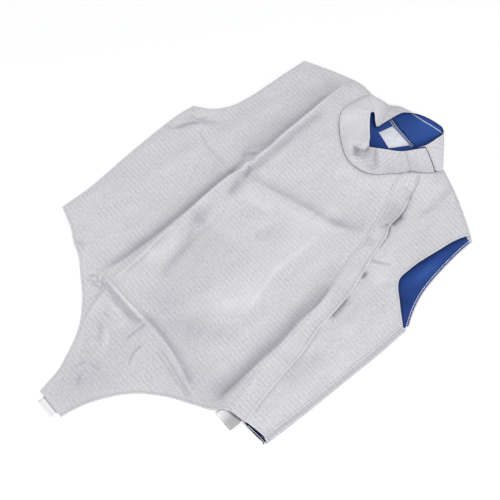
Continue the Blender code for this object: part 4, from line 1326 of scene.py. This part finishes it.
def seat_height(row):
    """Height of what the collar's foot stands on."""
    x, y = (np.array([c]) for c in collar_rows[row, :2])
    if row < TAB_SEAM_ROW or row >= LEFT_FOLD_ROW:
        return float(left_top(x, y)[0])
    if row <= SHOULDER_ROW:
        return float(front_top(x, y)[0])
    return LINING_TOP


def foot_heights():
    """The outer face's foot at each station, lifted where the wall leans over its own lining."""
    seats = np.array([seat_height(row) for row in range(len(collar_rows))])
    foot_z = seats
    for _ in range(3):
        _, normals = collar_face([0.0], foot_z)
        lean = np.maximum(normals[0, ::FINE_COLUMNS, 2], 0.0)
        foot_z = seats + 2 * SEAM_GAP + lean * (LINING_DEPTH + LINING_WALL)
    return foot_z


feet = foot_heights()
up = np.linspace(0.0, 1.0, COLLAR_LINES)
station = np.linspace(0, LAST_ROW, FINE_COLUMNS * LAST_ROW + 1)
smooth_face, collar_normals = collar_face(up, feet)
collar_along = run_along(smooth_face[0])
collar_height = np.linalg.norm(smooth_face[-1] - smooth_face[0], axis=1)
print("collar along its foot, mm:", round(collar_along[-1]), "height up to:", round(collar_height.max()))

# %% Pinch, buckles and seams pressed into the collar
COLLAR_DENTS = [
    # height, station, half width in stations, place up the wall, half height
    (-6.0, 7.2, 0.9, 0.78, 0.4),
    (-1.8, 8.5, 0.6, 0.5, 0.2),
    (1.8, 5.1, 0.5, 0.6, 0.5),
    (-1.2, 4.9, 0.5, 0.3, 0.3),
    (1.3, 9.8, 0.7, 0.45, 0.4),
    (-1.2, 11.0, 0.5, 0.5, 0.4),
    (1.2, 15.5, 0.5, 0.35, 0.4),
    (-1.2, 17.0, 0.5, 0.4, 0.4),
    (-1.0, 2.9, 0.3, 0.5, 0.5),
    (0.8, 1.0, 0.5, 0.5, 0.4),
]
COLLAR_SHADE = [
    # strength of painted light (positive) or painted shade (negative), station, half width in stations,
    # place up the wall, half height
    (-1.1, 8.6, 0.3, 0.5, 0.08),
    (-1.1, 8.15, 0.3, 0.59, 0.09),
    (-1.0, 7.7, 0.3, 0.7, 0.1),
    (-0.9, 7.25, 0.3, 0.82, 0.1),
    (-0.7, 6.9, 0.25, 0.93, 0.08),
    (-0.4, 7.2, 0.5, 0.55, 0.12),
    (-0.8, 8.0, 0.35, 0.44, 0.1),
    (-0.6, 7.55, 0.3, 0.5, 0.12),
    (-0.45, 5.45, 0.22, 0.85, 0.3),
    (-0.45, 5.2, 0.25, 0.5, 0.2),
    (-0.35, 5.6, 0.4, 0.27, 0.1),
    (0.6, 16.0, 3.5, 0.5, 0.8),
    (0.45, 11.6, 1.7, 0.5, 0.8),
    (-0.12, 3.0, 2.6, 0.5, 0.8),
    (-0.3, 15.4, 0.4, 0.5, 0.5),
]
COLLAR_SEAMS = [
    # station at the foot, station at the top edge
    (TAB_SEAM_ROW, TAB_SEAM_ROW - 0.1),
    (RIGHT_FRONT_ROW, RIGHT_FRONT_ROW),
    (RIGHT_SIDE_ROW, RIGHT_SIDE_ROW - 1.4),
    (LEFT_FOLD_ROW, LEFT_FOLD_ROW),
]
SEAM_HALF = 0.9
SEAM_DEPTH = 0.7


def across_seam(seam):
    """Distance in millimetres from a seam that runs up the collar, for the whole grid."""
    at = seam[0] + (seam[1] - seam[0]) * up
    place = np.interp(at, station, collar_along)
    return collar_along[None, :] - place[:, None]


def collar_patches(rows):
    """Patches added up over the collar's grid: each fades around its station and its place up the wall."""
    return sum(strength * bell(station - at, half_width) * bell(up - middle, half_height)[:, None]
               for strength, at, half_width, middle, half_height in rows)


def collar_relief():
    relief = collar_patches(COLLAR_DENTS)
    for seam in COLLAR_SEAMS:
        relief -= SEAM_DEPTH * bell(across_seam(seam), SEAM_HALF)
    below_top = collar_height[None, :] * (1 - up)[:, None]
    relief += hem_profile(below_top) * 0.7
    relief += hem_profile(collar_along)[None, :] * 0.8
    wrinkle = np.sin(collar_along / 7.3)[None, :] * np.sin(up * 5.0 + 0.4)[:, None]
    return relief + 0.25 * wrinkle * smoothstep(0.05, 0.3, up)[:, None]


relief = collar_relief()
print("collar pressed in and out, mm:", round(relief.min(), 1), round(relief.max(), 1))
collar_outer = smooth_face + collar_normals * relief[..., None]
bend = collar_along / CLOTH_CURVE
radius = CLOTH_CURVE + collar_height[None, :] * up[:, None]
turn = (bend - bend[len(bend) // 2])[None, :]
collar_cut = np.dstack([radius * np.sin(turn), radius * np.cos(turn)])

# %% Painted light and shade on the collar
# painted light and shade on the collar: painted shade at the seams, a painted shadow along the foot, a
# painted highlight along the top edge and the listed patches
seam_shade = sum(bell(across_seam(seam), 1.2) for seam in COLLAR_SEAMS)
foot_line = bell(collar_height[None, :] * up[:, None], 1.2)
top_edge_highlight = bell(1 - up, 0.04)[:, None]
collar_painted_light = collar_patches(COLLAR_SHADE) + 0.4 * top_edge_highlight - 0.4 * seam_shade - 0.5 * foot_line
print("collar worn from", round(collar_painted_light.min(), 1), "to", round(collar_painted_light.max(), 1))

# %% The collar's cloth and its lining
LINING_PROUD = 1.6
PAST_TAB_END = 1.3
COLLAR_LININGS = [
    # piece, its node, first station, last station, lowest line, past its first end, glow
    ("collar_lining_throat", "collar_lining_front", 0, RIGHT_FRONT_ROW - 0.3, 0.04, PAST_TAB_END, 0.0),
    ("collar_lining_shoulder", "collar_lining_right", RIGHT_FRONT_ROW + 1, RIGHT_SIDE_ROW, 0.0, 0.0, 0.0),
    ("collar_lining_nape", "collar_lining_back", RIGHT_SIDE_ROW, LEFT_FOLD_ROW, 0.0, 0.0, 0.35),
    ("collar_lining_under_tab", "collar_lining_left", LEFT_FOLD_ROW, LAST_ROW, 0.04, 0.0, 0.0),
]


def band(name, first, last, depth, wall, cloth, low=0.0, proud=0.0, past=0.0, glow=0.0):
    """A stretch of the collar between two stations; depth is how far inside the outer face it starts."""
    columns = slice(round(first * FINE_COLUMNS), round(last * FINE_COLUMNS) + 1)
    lines = up >= low
    outer = collar_outer[lines][:, columns].copy()
    normals = collar_normals[lines][:, columns]
    top = unit(outer[-1] - outer[-2])
    outer[-1] += top * proud
    outer[:, 0] += unit(outer[:, 0] - outer[:, 1]) * past
    upper = outer - normals * depth
    lower = outer - normals * (depth + wall)
    cut = collar_cut[lines][:, columns]
    light_and_shade_paint = collar_painted_light[lines][:, columns]
    if depth:
        below_top = (collar_height[None, :] * (1 - up)[:, None])[lines][:, columns]
        # a lining band is painted evenly lighter by its glow, with painted shade just under the collar's top
        # edge and a painted line of shade along an end that reaches past the tab
        light_and_shade_paint = glow - (0.5 + glow) * bell(below_top, 2.0)
        light_and_shade_paint[:, 0] -= 1.0 * (past > 0)
    return grid_shell(name, upper[:, ::-1], lower[:, ::-1], cloth, cut[:, ::-1], light_and_shade_paint[:, ::-1])


collar = band("collar", 0, LAST_ROW, 0.0, COLLAR_WALL, silver)
collar_linings = [
    band(name, first, last, LINING_DEPTH, LINING_WALL, blue, low, LINING_PROUD, past, glow)
    for name, _, first, last, low, past, glow in COLLAR_LININGS]

# %% [markdown]
# ## Label and straps
# The label is a folded piece of satin under the back neck seam, and it stays bare. A loop of elastic hangs
# from the hem, and a loop of webbing ends the crotch tab.

# %% The label
LABEL_CORNERS = [(-19, 333), (26, 329.5), (8, 299), (-25, 307)]
LABEL_WALL = 1.0
LABEL_CUT = (46, 30)


def make_label():
    a, b, c, d = (np.array(p, float) for p in LABEL_CORNERS)
    s, t = np.meshgrid(np.linspace(0, 1, 40), np.linspace(0, 1, 30))
    flat = (a + (b - a) * s[..., None]) * t[..., None] + (d + (c - d) * s[..., None]) * (1 - t[..., None])
    z = LINING_TOP + SEAM_GAP + LABEL_WALL + 1.5 * np.sin(np.pi * s) * (1 - t)
    z = z + 0.25 * np.sin(s * 9 + t * 3) * (1 - t) + 0.35 * bell(t, 0.04)
    upper = np.dstack([flat, z])
    cut = np.dstack([LABEL_CUT[0] * s, LABEL_CUT[1] * t])
    return grid_shell("label", upper, upper - np.array([0, 0, LABEL_WALL]), label_satin, cut)


label = make_label()

# %% The straps
STRAP_WALL = 1.0
STRAP_STEP = 0.7
STRAP_COLUMNS = 17
HEM_STRAP_X = (178.0, 211.0)
HEM_STRAP_Y = (-219.0, -197.4)
HEM_STRAP_HEIGHT = 8.0
TAB_STRAP_X = (-14.0, 19.0)
TAB_STRAP_Y = (-414.0, -391.0)
TAB_STRAP_HEIGHT = 3.6


def strap(name, sides, path, cloth, shade=None):
    """A band that follows a path in the YZ plane, as wide as its two sides are apart."""
    line = resample(path, STRAP_STEP)
    across = to_left(unit(np.gradient(line, axis=0)))
    width = sides[1] - sides[0]
    t = np.linspace(0, 1, STRAP_COLUMNS)
    selvedge = 0.3 * (1 - smoothstep(0, 0.05, np.minimum(t, 1 - t)))
    grids = []
    for side in (1, -1):
        half_wall = STRAP_WALL / 2 - selvedge
        y = line[:, :1] + across[:, :1] * side * half_wall
        z = np.maximum(line[:, 1:] + across[:, 1:] * side * half_wall, 0.0)
        grids.append(np.dstack([sides[0] + width * t + 0 * y, y, z]))
    run = run_along(line)
    cut = np.dstack([width * t + 0 * run[:, None], run[:, None] + 0 * t])
    print(name, "cut:", round(width), "by", round(run[-1]), "mm")
    light_and_shade_paint = shade(cut[..., 0] / width, cut[..., 1]) if shade else None
    return grid_shell(name, grids[0], grids[1], cloth, cut, light_and_shade_paint)


def rolled(share, run):
    """The elastic gets a painted highlight near one edge of its width, painted shade towards the other edge,
    and a painted shadow under the front's hem.
    """
    x = HEM_STRAP_X[0] + (HEM_STRAP_X[1] - HEM_STRAP_X[0]) * share
    hem_y = np.interp(x, [178, 189, 219], [-208, -201, -193])
    below_hem = hem_y - (HEM_STRAP_Y[1] + 8.0 - run)
    shade = 0.6 * bell(share - 0.12, 0.16) - 0.45 * smoothstep(0.3, 0.7, share)
    return shade - 0.9 * bell(below_hem, 2.0) * (run < 25)


def tucked(share, run):
    """The webbing is clean and white, with shade where it goes in under the end of the tab."""
    return 0.6 - 1.4 * bell(run - 10.5, 1.6) - 0.5 * bell(share, 0.06)


def make_straps():
    half = STRAP_WALL / 2
    far, near = HEM_STRAP_Y
    tall = HEM_STRAP_HEIGHT
    over = LINING_TOP + SEAM_GAP + half
    elastic = strap("hem_elastic", HEM_STRAP_X, [
        (near + 8.0, over), (near, over + 0.6), (far + 7, tall - half - 0.5), (far + 3.5, tall - half),
        (far + half, tall * 0.55), (far + 2.5, 1.4), (far + 7, half), (near - 1.0, half)], white, rolled)
    far, near = TAB_STRAP_Y
    over = half + STRAP_WALL + SEAM_GAP
    loop = strap("tab_webbing", TAB_STRAP_X, [
        (near, over), (near - 9, over), (far + 6.5, over), (far + 2.4, TAB_STRAP_HEIGHT - half),
        (far + half, TAB_STRAP_HEIGHT / 2), (far + 2.4, half), (far + 6.5, half), (near, half)],
        white, tucked)
    return elastic, loop


elastic, loop = make_straps()

# %% [markdown]
# ## Stitching
# A seam shows as a row of short threads. Placing thousands of them by hand is what Geometry Nodes are for:
# the tree takes a line that lies on the cloth, puts a point every few millimetres along it, and sets one
# small stitch on each, turned along the line and upright on the cloth.

# %% The stitch tree


def stitch_tree():
    tree = bpy.data.node_groups.new("stitches along a line", "GeometryNodeTree")
    face = tree.interface
    face.new_socket("Geometry", in_out="INPUT", socket_type="NodeSocketGeometry")
    for name in ("Spacing", "Length", "Width", "Height"):
        face.new_socket(name, in_out="INPUT", socket_type="NodeSocketFloat")
    face.new_socket("Seed", in_out="INPUT", socket_type="NodeSocketInt")
    face.new_socket("Thread", in_out="INPUT", socket_type="NodeSocketMaterial")
    face.new_socket("Geometry", in_out="OUTPUT", socket_type="NodeSocketGeometry")

    def node(kind, settings=None, **values):
        made = tree.nodes.new(kind)
        for name, value in (settings or {}).items():
            setattr(made, name, value)
        for name, value in values.items():
            socket = made.inputs[name.replace("_", " ")]
            if isinstance(value, bpy.types.NodeSocket):
                tree.links.new(value, socket)
            else:
                socket.default_value = value
        return made

    given = node("NodeGroupInput").outputs
    line = node("GeometryNodeMeshToCurve", Mesh=given["Geometry"]).outputs["Curve"]
    points = node("GeometryNodeResampleCurve", {"mode": "LENGTH"}, Curve=line, Length=given["Spacing"])
    upright = node("GeometryNodeInputNamedAttribute", {"data_type": "FLOAT_VECTOR"}, Name="upright")
    along = node("GeometryNodeInputTangent").outputs["Tangent"]
    turned = node("FunctionNodeAxesToRotation", {"primary_axis": "X", "secondary_axis": "Z"},
                  Primary_Axis=along, Secondary_Axis=upright.outputs["Attribute"])
    loose = node("FunctionNodeRandomValue", {"data_type": "FLOAT_VECTOR"}, Seed=given["Seed"])
    loose.inputs["Min"].default_value = (-0.05, -0.04, -0.09)
    loose.inputs["Max"].default_value = (0.05, 0.04, 0.09)
    jitter = node("FunctionNodeEulerToRotation", Euler=loose.outputs["Value"])
    rotation = node("FunctionNodeRotateRotation", {"rotation_space": "LOCAL"},
                    Rotation=turned.outputs["Rotation"], Rotate_By=jitter.outputs["Rotation"])
    size = node("ShaderNodeCombineXYZ", X=given["Length"], Y=given["Width"], Z=given["Height"])
    bead = node("GeometryNodeMeshUVSphere", Segments=6, Rings=4, Radius=0.5)
    placed = node("GeometryNodeInstanceOnPoints", Points=points.outputs["Curve"],
                  Instance=bead.outputs["Mesh"], Rotation=rotation.outputs["Rotation"],
                  Scale=size.outputs["Vector"])
    real = node("GeometryNodeRealizeInstances", Geometry=placed.outputs["Instances"])
    soft = node("GeometryNodeSetShadeSmooth", Geometry=real.outputs["Geometry"])
    dyed = node("GeometryNodeSetMaterial", Geometry=soft.outputs["Geometry"], Material=given["Thread"])
    node("NodeGroupOutput", Geometry=dyed.outputs["Geometry"])
    return tree


stitches = stitch_tree()
print("stitch tree nodes:", len(stitches.nodes))

# %% Lines that lie on the cloth
STITCH = {"Spacing": 0.0031, "Length": 0.0024, "Width": 0.00055, "Height": 0.0004}
THICK_STITCH = {"Spacing": 0.0034, "Length": 0.0036, "Width": 0.0016, "Height": 0.001}
STITCH_SINK = 0.05
SLOPE_STEP = 0.5


def seam_row(surface, points, distance, step=6.0, above=0.1):
    """A line beside a seam, laid on a height surface, with the direction that is upright there."""
    x, y = beside(resample(points, step), distance).T
    z = surface(x, y) + above
    slope_x = (surface(x + SLOPE_STEP, y) + above - z) / SLOPE_STEP
    slope_y = (surface(x, y + SLOPE_STEP) + above - z) / SLOPE_STEP
    upright = unit(np.column_stack([-slope_x, -slope_y, np.ones_like(z)]))
    return np.column_stack([x, y, z]) + upright * STITCH_SINK, upright


def on_collar(seam, side):
    """A line up the collar's outer face beside a seam."""
    rises = np.linspace(0.06, 0.97, 24)
    at = seam[0] + (seam[1] - seam[0]) * rises
    place = np.interp(at, station, collar_along) + side
    return collar_line(np.interp(place, collar_along, station), rises)


def collar_line(stations, rises, depth=0.0):
    """Points on the collar at given stations and heights, with the direction away from the cloth."""
    last_row, last_column = (count - 1 for count in collar_outer.shape[:2])
    column = np.clip(stations * FINE_COLUMNS, 0, last_column)
    row = np.clip(rises * last_row, 0, last_row)
    i, j = np.minimum(row.astype(int), last_row - 1), np.minimum(column.astype(int), last_column - 1)
    s, t = (row - i)[:, None], (column - j)[:, None]

    def read(grid):
        low_line = grid[i, j] * (1 - t) + grid[i, j + 1] * t
        high_line = grid[i + 1, j] * (1 - t) + grid[i + 1, j + 1] * t
        return low_line * (1 - s) + high_line * s

    out = unit(read(collar_normals))
    if depth:
        return read(collar_outer) - out * (depth + STITCH_SINK), -out
    return read(collar_outer) + out * STITCH_SINK, out


def sew(name, rows, thread_finish, seed, sizes):
    """All rows of one thread as one mesh of stitches."""
    places, normals, edges = [], [], []
    for line, upright in rows:
        start = sum(len(p) for p in places)
        places.append(line)
        normals.append(upright)
        edges += [(start + i, start + i + 1) for i in range(len(line) - 1)]
    guide = bpy.data.meshes.new(name + "_guide")
    guide.from_pydata((np.vstack(places) * MM).tolist(), edges, [])
    layer = guide.attributes.new("upright", "FLOAT_VECTOR", "POINT")
    layer.data.foreach_set("vector", np.vstack(normals).ravel())
    carrier = place(name + "_guide", guide)
    modifier = carrier.modifiers.new("stitches", "NODES")
    modifier.node_group = stitches
    sockets = {item.name: item.identifier for item in stitches.interface.items_tree
               if item.in_out == "INPUT"}
    for size, value in sizes.items():
        modifier[sockets[size]] = value
    modifier[sockets["Seed"]] = seed
    modifier[sockets["Thread"]] = thread_finish
    evaluated = carrier.evaluated_get(bpy.context.evaluated_depsgraph_get())
    mesh = bpy.data.meshes.new_from_object(evaluated)
    mesh.name = name
    bpy.data.objects.remove(carrier)
    print(f"{name}: {len(rows)} rows, {len(mesh.polygons)} faces")
    return place(name, mesh)


# %% Silver thread
CLOSE_TO_SEAM = 3.2
SILVER_SEED = 3


def flap_line(from_free_edge):
    """A row down the flap at a distance from its free edge, read from the flap's own grid."""
    share = np.clip(1.0 - from_free_edge / flap_width[:, 0], 0.0, 1.0)
    column = share * (FLAP_COLUMNS - 1)
    j = np.minimum(column.astype(int), FLAP_COLUMNS - 2)
    t = (column - j)[:, None]
    rows = np.arange(len(flap_upper))
    place = flap_upper[rows, j] * (1 - t) + flap_upper[rows, j + 1] * t
    rise = unit(np.cross(flap_upper[rows, j + 1] - flap_upper[rows, j], np.gradient(place, axis=0)))
    upright = rise * np.sign(rise[:, 2:])
    keep = slice(3, len(place) - 2)
    return (place + upright * STITCH_SINK)[keep], upright[keep]


collar_foot = collar_rows[TAB_SEAM_ROW:RIGHT_FRONT_ROW + 2, :2]
near_top = np.linspace(0.4, LAST_ROW - 0.4, 400)
below_edge = 1.0 - HEM_STITCH / np.interp(near_top, station, collar_height)
# each row lies to the left of its line by a distance in millimetres, or to the right if that is negative
silver_rows = [
    seam_row(front_surface, crotch_edge(-1) + HEM_RIGHT, -HEM_STITCH),
    seam_row(front_surface, crotch_edge(1) + HEM_LEFT, HEM_STITCH),
    seam_row(front_surface, RIGHT_SIDE, -HEM_STITCH),
    seam_row(front_surface, RIGHT_ARMHOLE, -HEM_STITCH),
    seam_row(front_surface, RIGHT_SHOULDER, -HEM_STITCH),
    seam_row(front_surface, FLY_SEAM[1:], -2.0),
    seam_row(front_surface, FLY_SEAM[1:], -5.0),
    seam_row(front_surface, collar_foot[::-1], -4.5),
    seam_row(left_surface, LEFT_SHOULDER, -HEM_STITCH),
    seam_row(left_surface, LEFT_FRONT_ARMHOLE, -HEM_STITCH),
    seam_row(left_surface, SIDE_SEAM, -HEM_STITCH),
    seam_row(left_surface, [(222, -188), (240, -184), (252, -183)], 0.5),
    flap_line(HEM_STITCH),
    collar_line(near_top, below_edge),
    on_collar(COLLAR_SEAMS[0], -CLOSE_TO_SEAM),
    on_collar(COLLAR_SEAMS[2], -CLOSE_TO_SEAM),
    on_collar(COLLAR_SEAMS[2], CLOSE_TO_SEAM),
    on_collar(COLLAR_SEAMS[1], CLOSE_TO_SEAM),
    on_collar((0, 0), HEM_STITCH),
]
silver_stitches = sew("silver_stitching", silver_rows, silver_thread, SILVER_SEED, STITCH)

# %% White thread, on the lining
WHITE_SEED = 4
NAPE_ROW_DROP = 7.0
THROAT_ROW_DROP = 2.2
inner_depth = LINING_DEPTH + LINING_WALL
nape = np.linspace(RIGHT_SIDE_ROW - 1.0, LEFT_FOLD_ROW - 0.2, 120)
nape_rise = 1.0 - NAPE_ROW_DROP / np.interp(nape, station, collar_height)
throat = np.linspace(0.3, RIGHT_FRONT_ROW - 0.6, 160)
throat_rise = 1.0 - THROAT_ROW_DROP / np.interp(throat, station, collar_height)
lining_seams = ((NECK_SEAM, 0.0), (NECK_SEAM, -3.4), (LEFT_BACK_ARMHOLE, -4.2), (BACK_HEM[:2], -3.2))
white_rows = [
    *[seam_row(lining_surface, points, distance, 5.0, 0.0) for points, distance in lining_seams],
    collar_line(nape, nape_rise, inner_depth),
    collar_line(throat, throat_rise, inner_depth),
]
white_stitches = sew("white_stitching", white_rows, white_thread, WHITE_SEED, THICK_STITCH)

# %% [markdown]
# ## Riding and replacing
# Every piece rides on the one body in place of the CAD nodes it stands for, which are hidden.

# %% Finish the frame
SILVER_SLOT = "silver ribbed cloth"
BLUE_SLOT = "royal blue lining"
WHITE_SLOT = "white webbing"
FLAP_FLAT = (0.036, 0.51)
LABEL_FLAT = (0.046, 0.031)
ELASTIC_FLAT = (0.033, 0.055)
WEBBING_FLAT = (0.033, 0.047)


def hand_over(piece, slot, nodes, cut_size, area=None, rests_on=(), held="laid"):
    """Put a cloth piece on the body in place of its nodes, and state the size that it was cut to."""
    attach(piece, "root")
    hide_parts(*nodes)
    print(piece.name, "cut, mm:", [round(size / MM) for size in cut_size])


def band_cut(first, last):
    """The length at mid-height and the mean height of a stretch of the collar."""
    columns = slice(round(first * FINE_COLUMNS), round(last * FINE_COLUMNS) + 1)
    middle = smooth_face[COLLAR_LINES // 2, columns]
    return float(stretches(middle).sum()) * MM, float(collar_height[columns].mean()) * MM


def cut_box(outline):
    size = (outline.max(axis=0) - outline.min(axis=0)) * MM
    return (float(size[0]), float(size[1])), polygon_area(outline) * MM * MM


hand_over(front, SILVER_SLOT, ["front_panel"], *cut_box(front_outline), rests_on=["lining_cloth"])
hand_over(left, SILVER_SLOT, ["left_front"], *cut_box(left_outline), rests_on=["lining_cloth"])
hand_over(flap, SILVER_SLOT, ["fly_flap"], FLAP_FLAT, rests_on=["left_front_cloth"])
hand_over(back, SILVER_SLOT, ["back"], *cut_box(back_outline), rests_on=["floor"], held="folded")
hand_over(lining, BLUE_SLOT, ["back_lining"], *cut_box(lining_outline), rests_on=["back_cloth"])
collar_nodes = ["collar_tab", "collar_front", "collar_right", "collar_back", "collar_left"]
hand_over(collar, SILVER_SLOT, collar_nodes, band_cut(0, LAST_ROW), rests_on=["front", "left_front_cloth"],
          held="folded")
for piece, (_, node, first, last, *_) in zip(collar_linings, COLLAR_LININGS):
    hand_over(piece, BLUE_SLOT, [node], band_cut(first, last), held="folded")
hand_over(label, WHITE_SLOT, ["neck_label"], LABEL_FLAT, rests_on=["lining_cloth"])
hand_over(elastic, WHITE_SLOT, ["hem_strap"], ELASTIC_FLAT, held="folded")
hand_over(loop, WHITE_SLOT, ["tab_strap"], WEBBING_FLAT, held="folded")
for piece, slot in ((silver_stitches, SILVER_SLOT), (white_stitches, WHITE_SLOT)):
    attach(piece, "root")
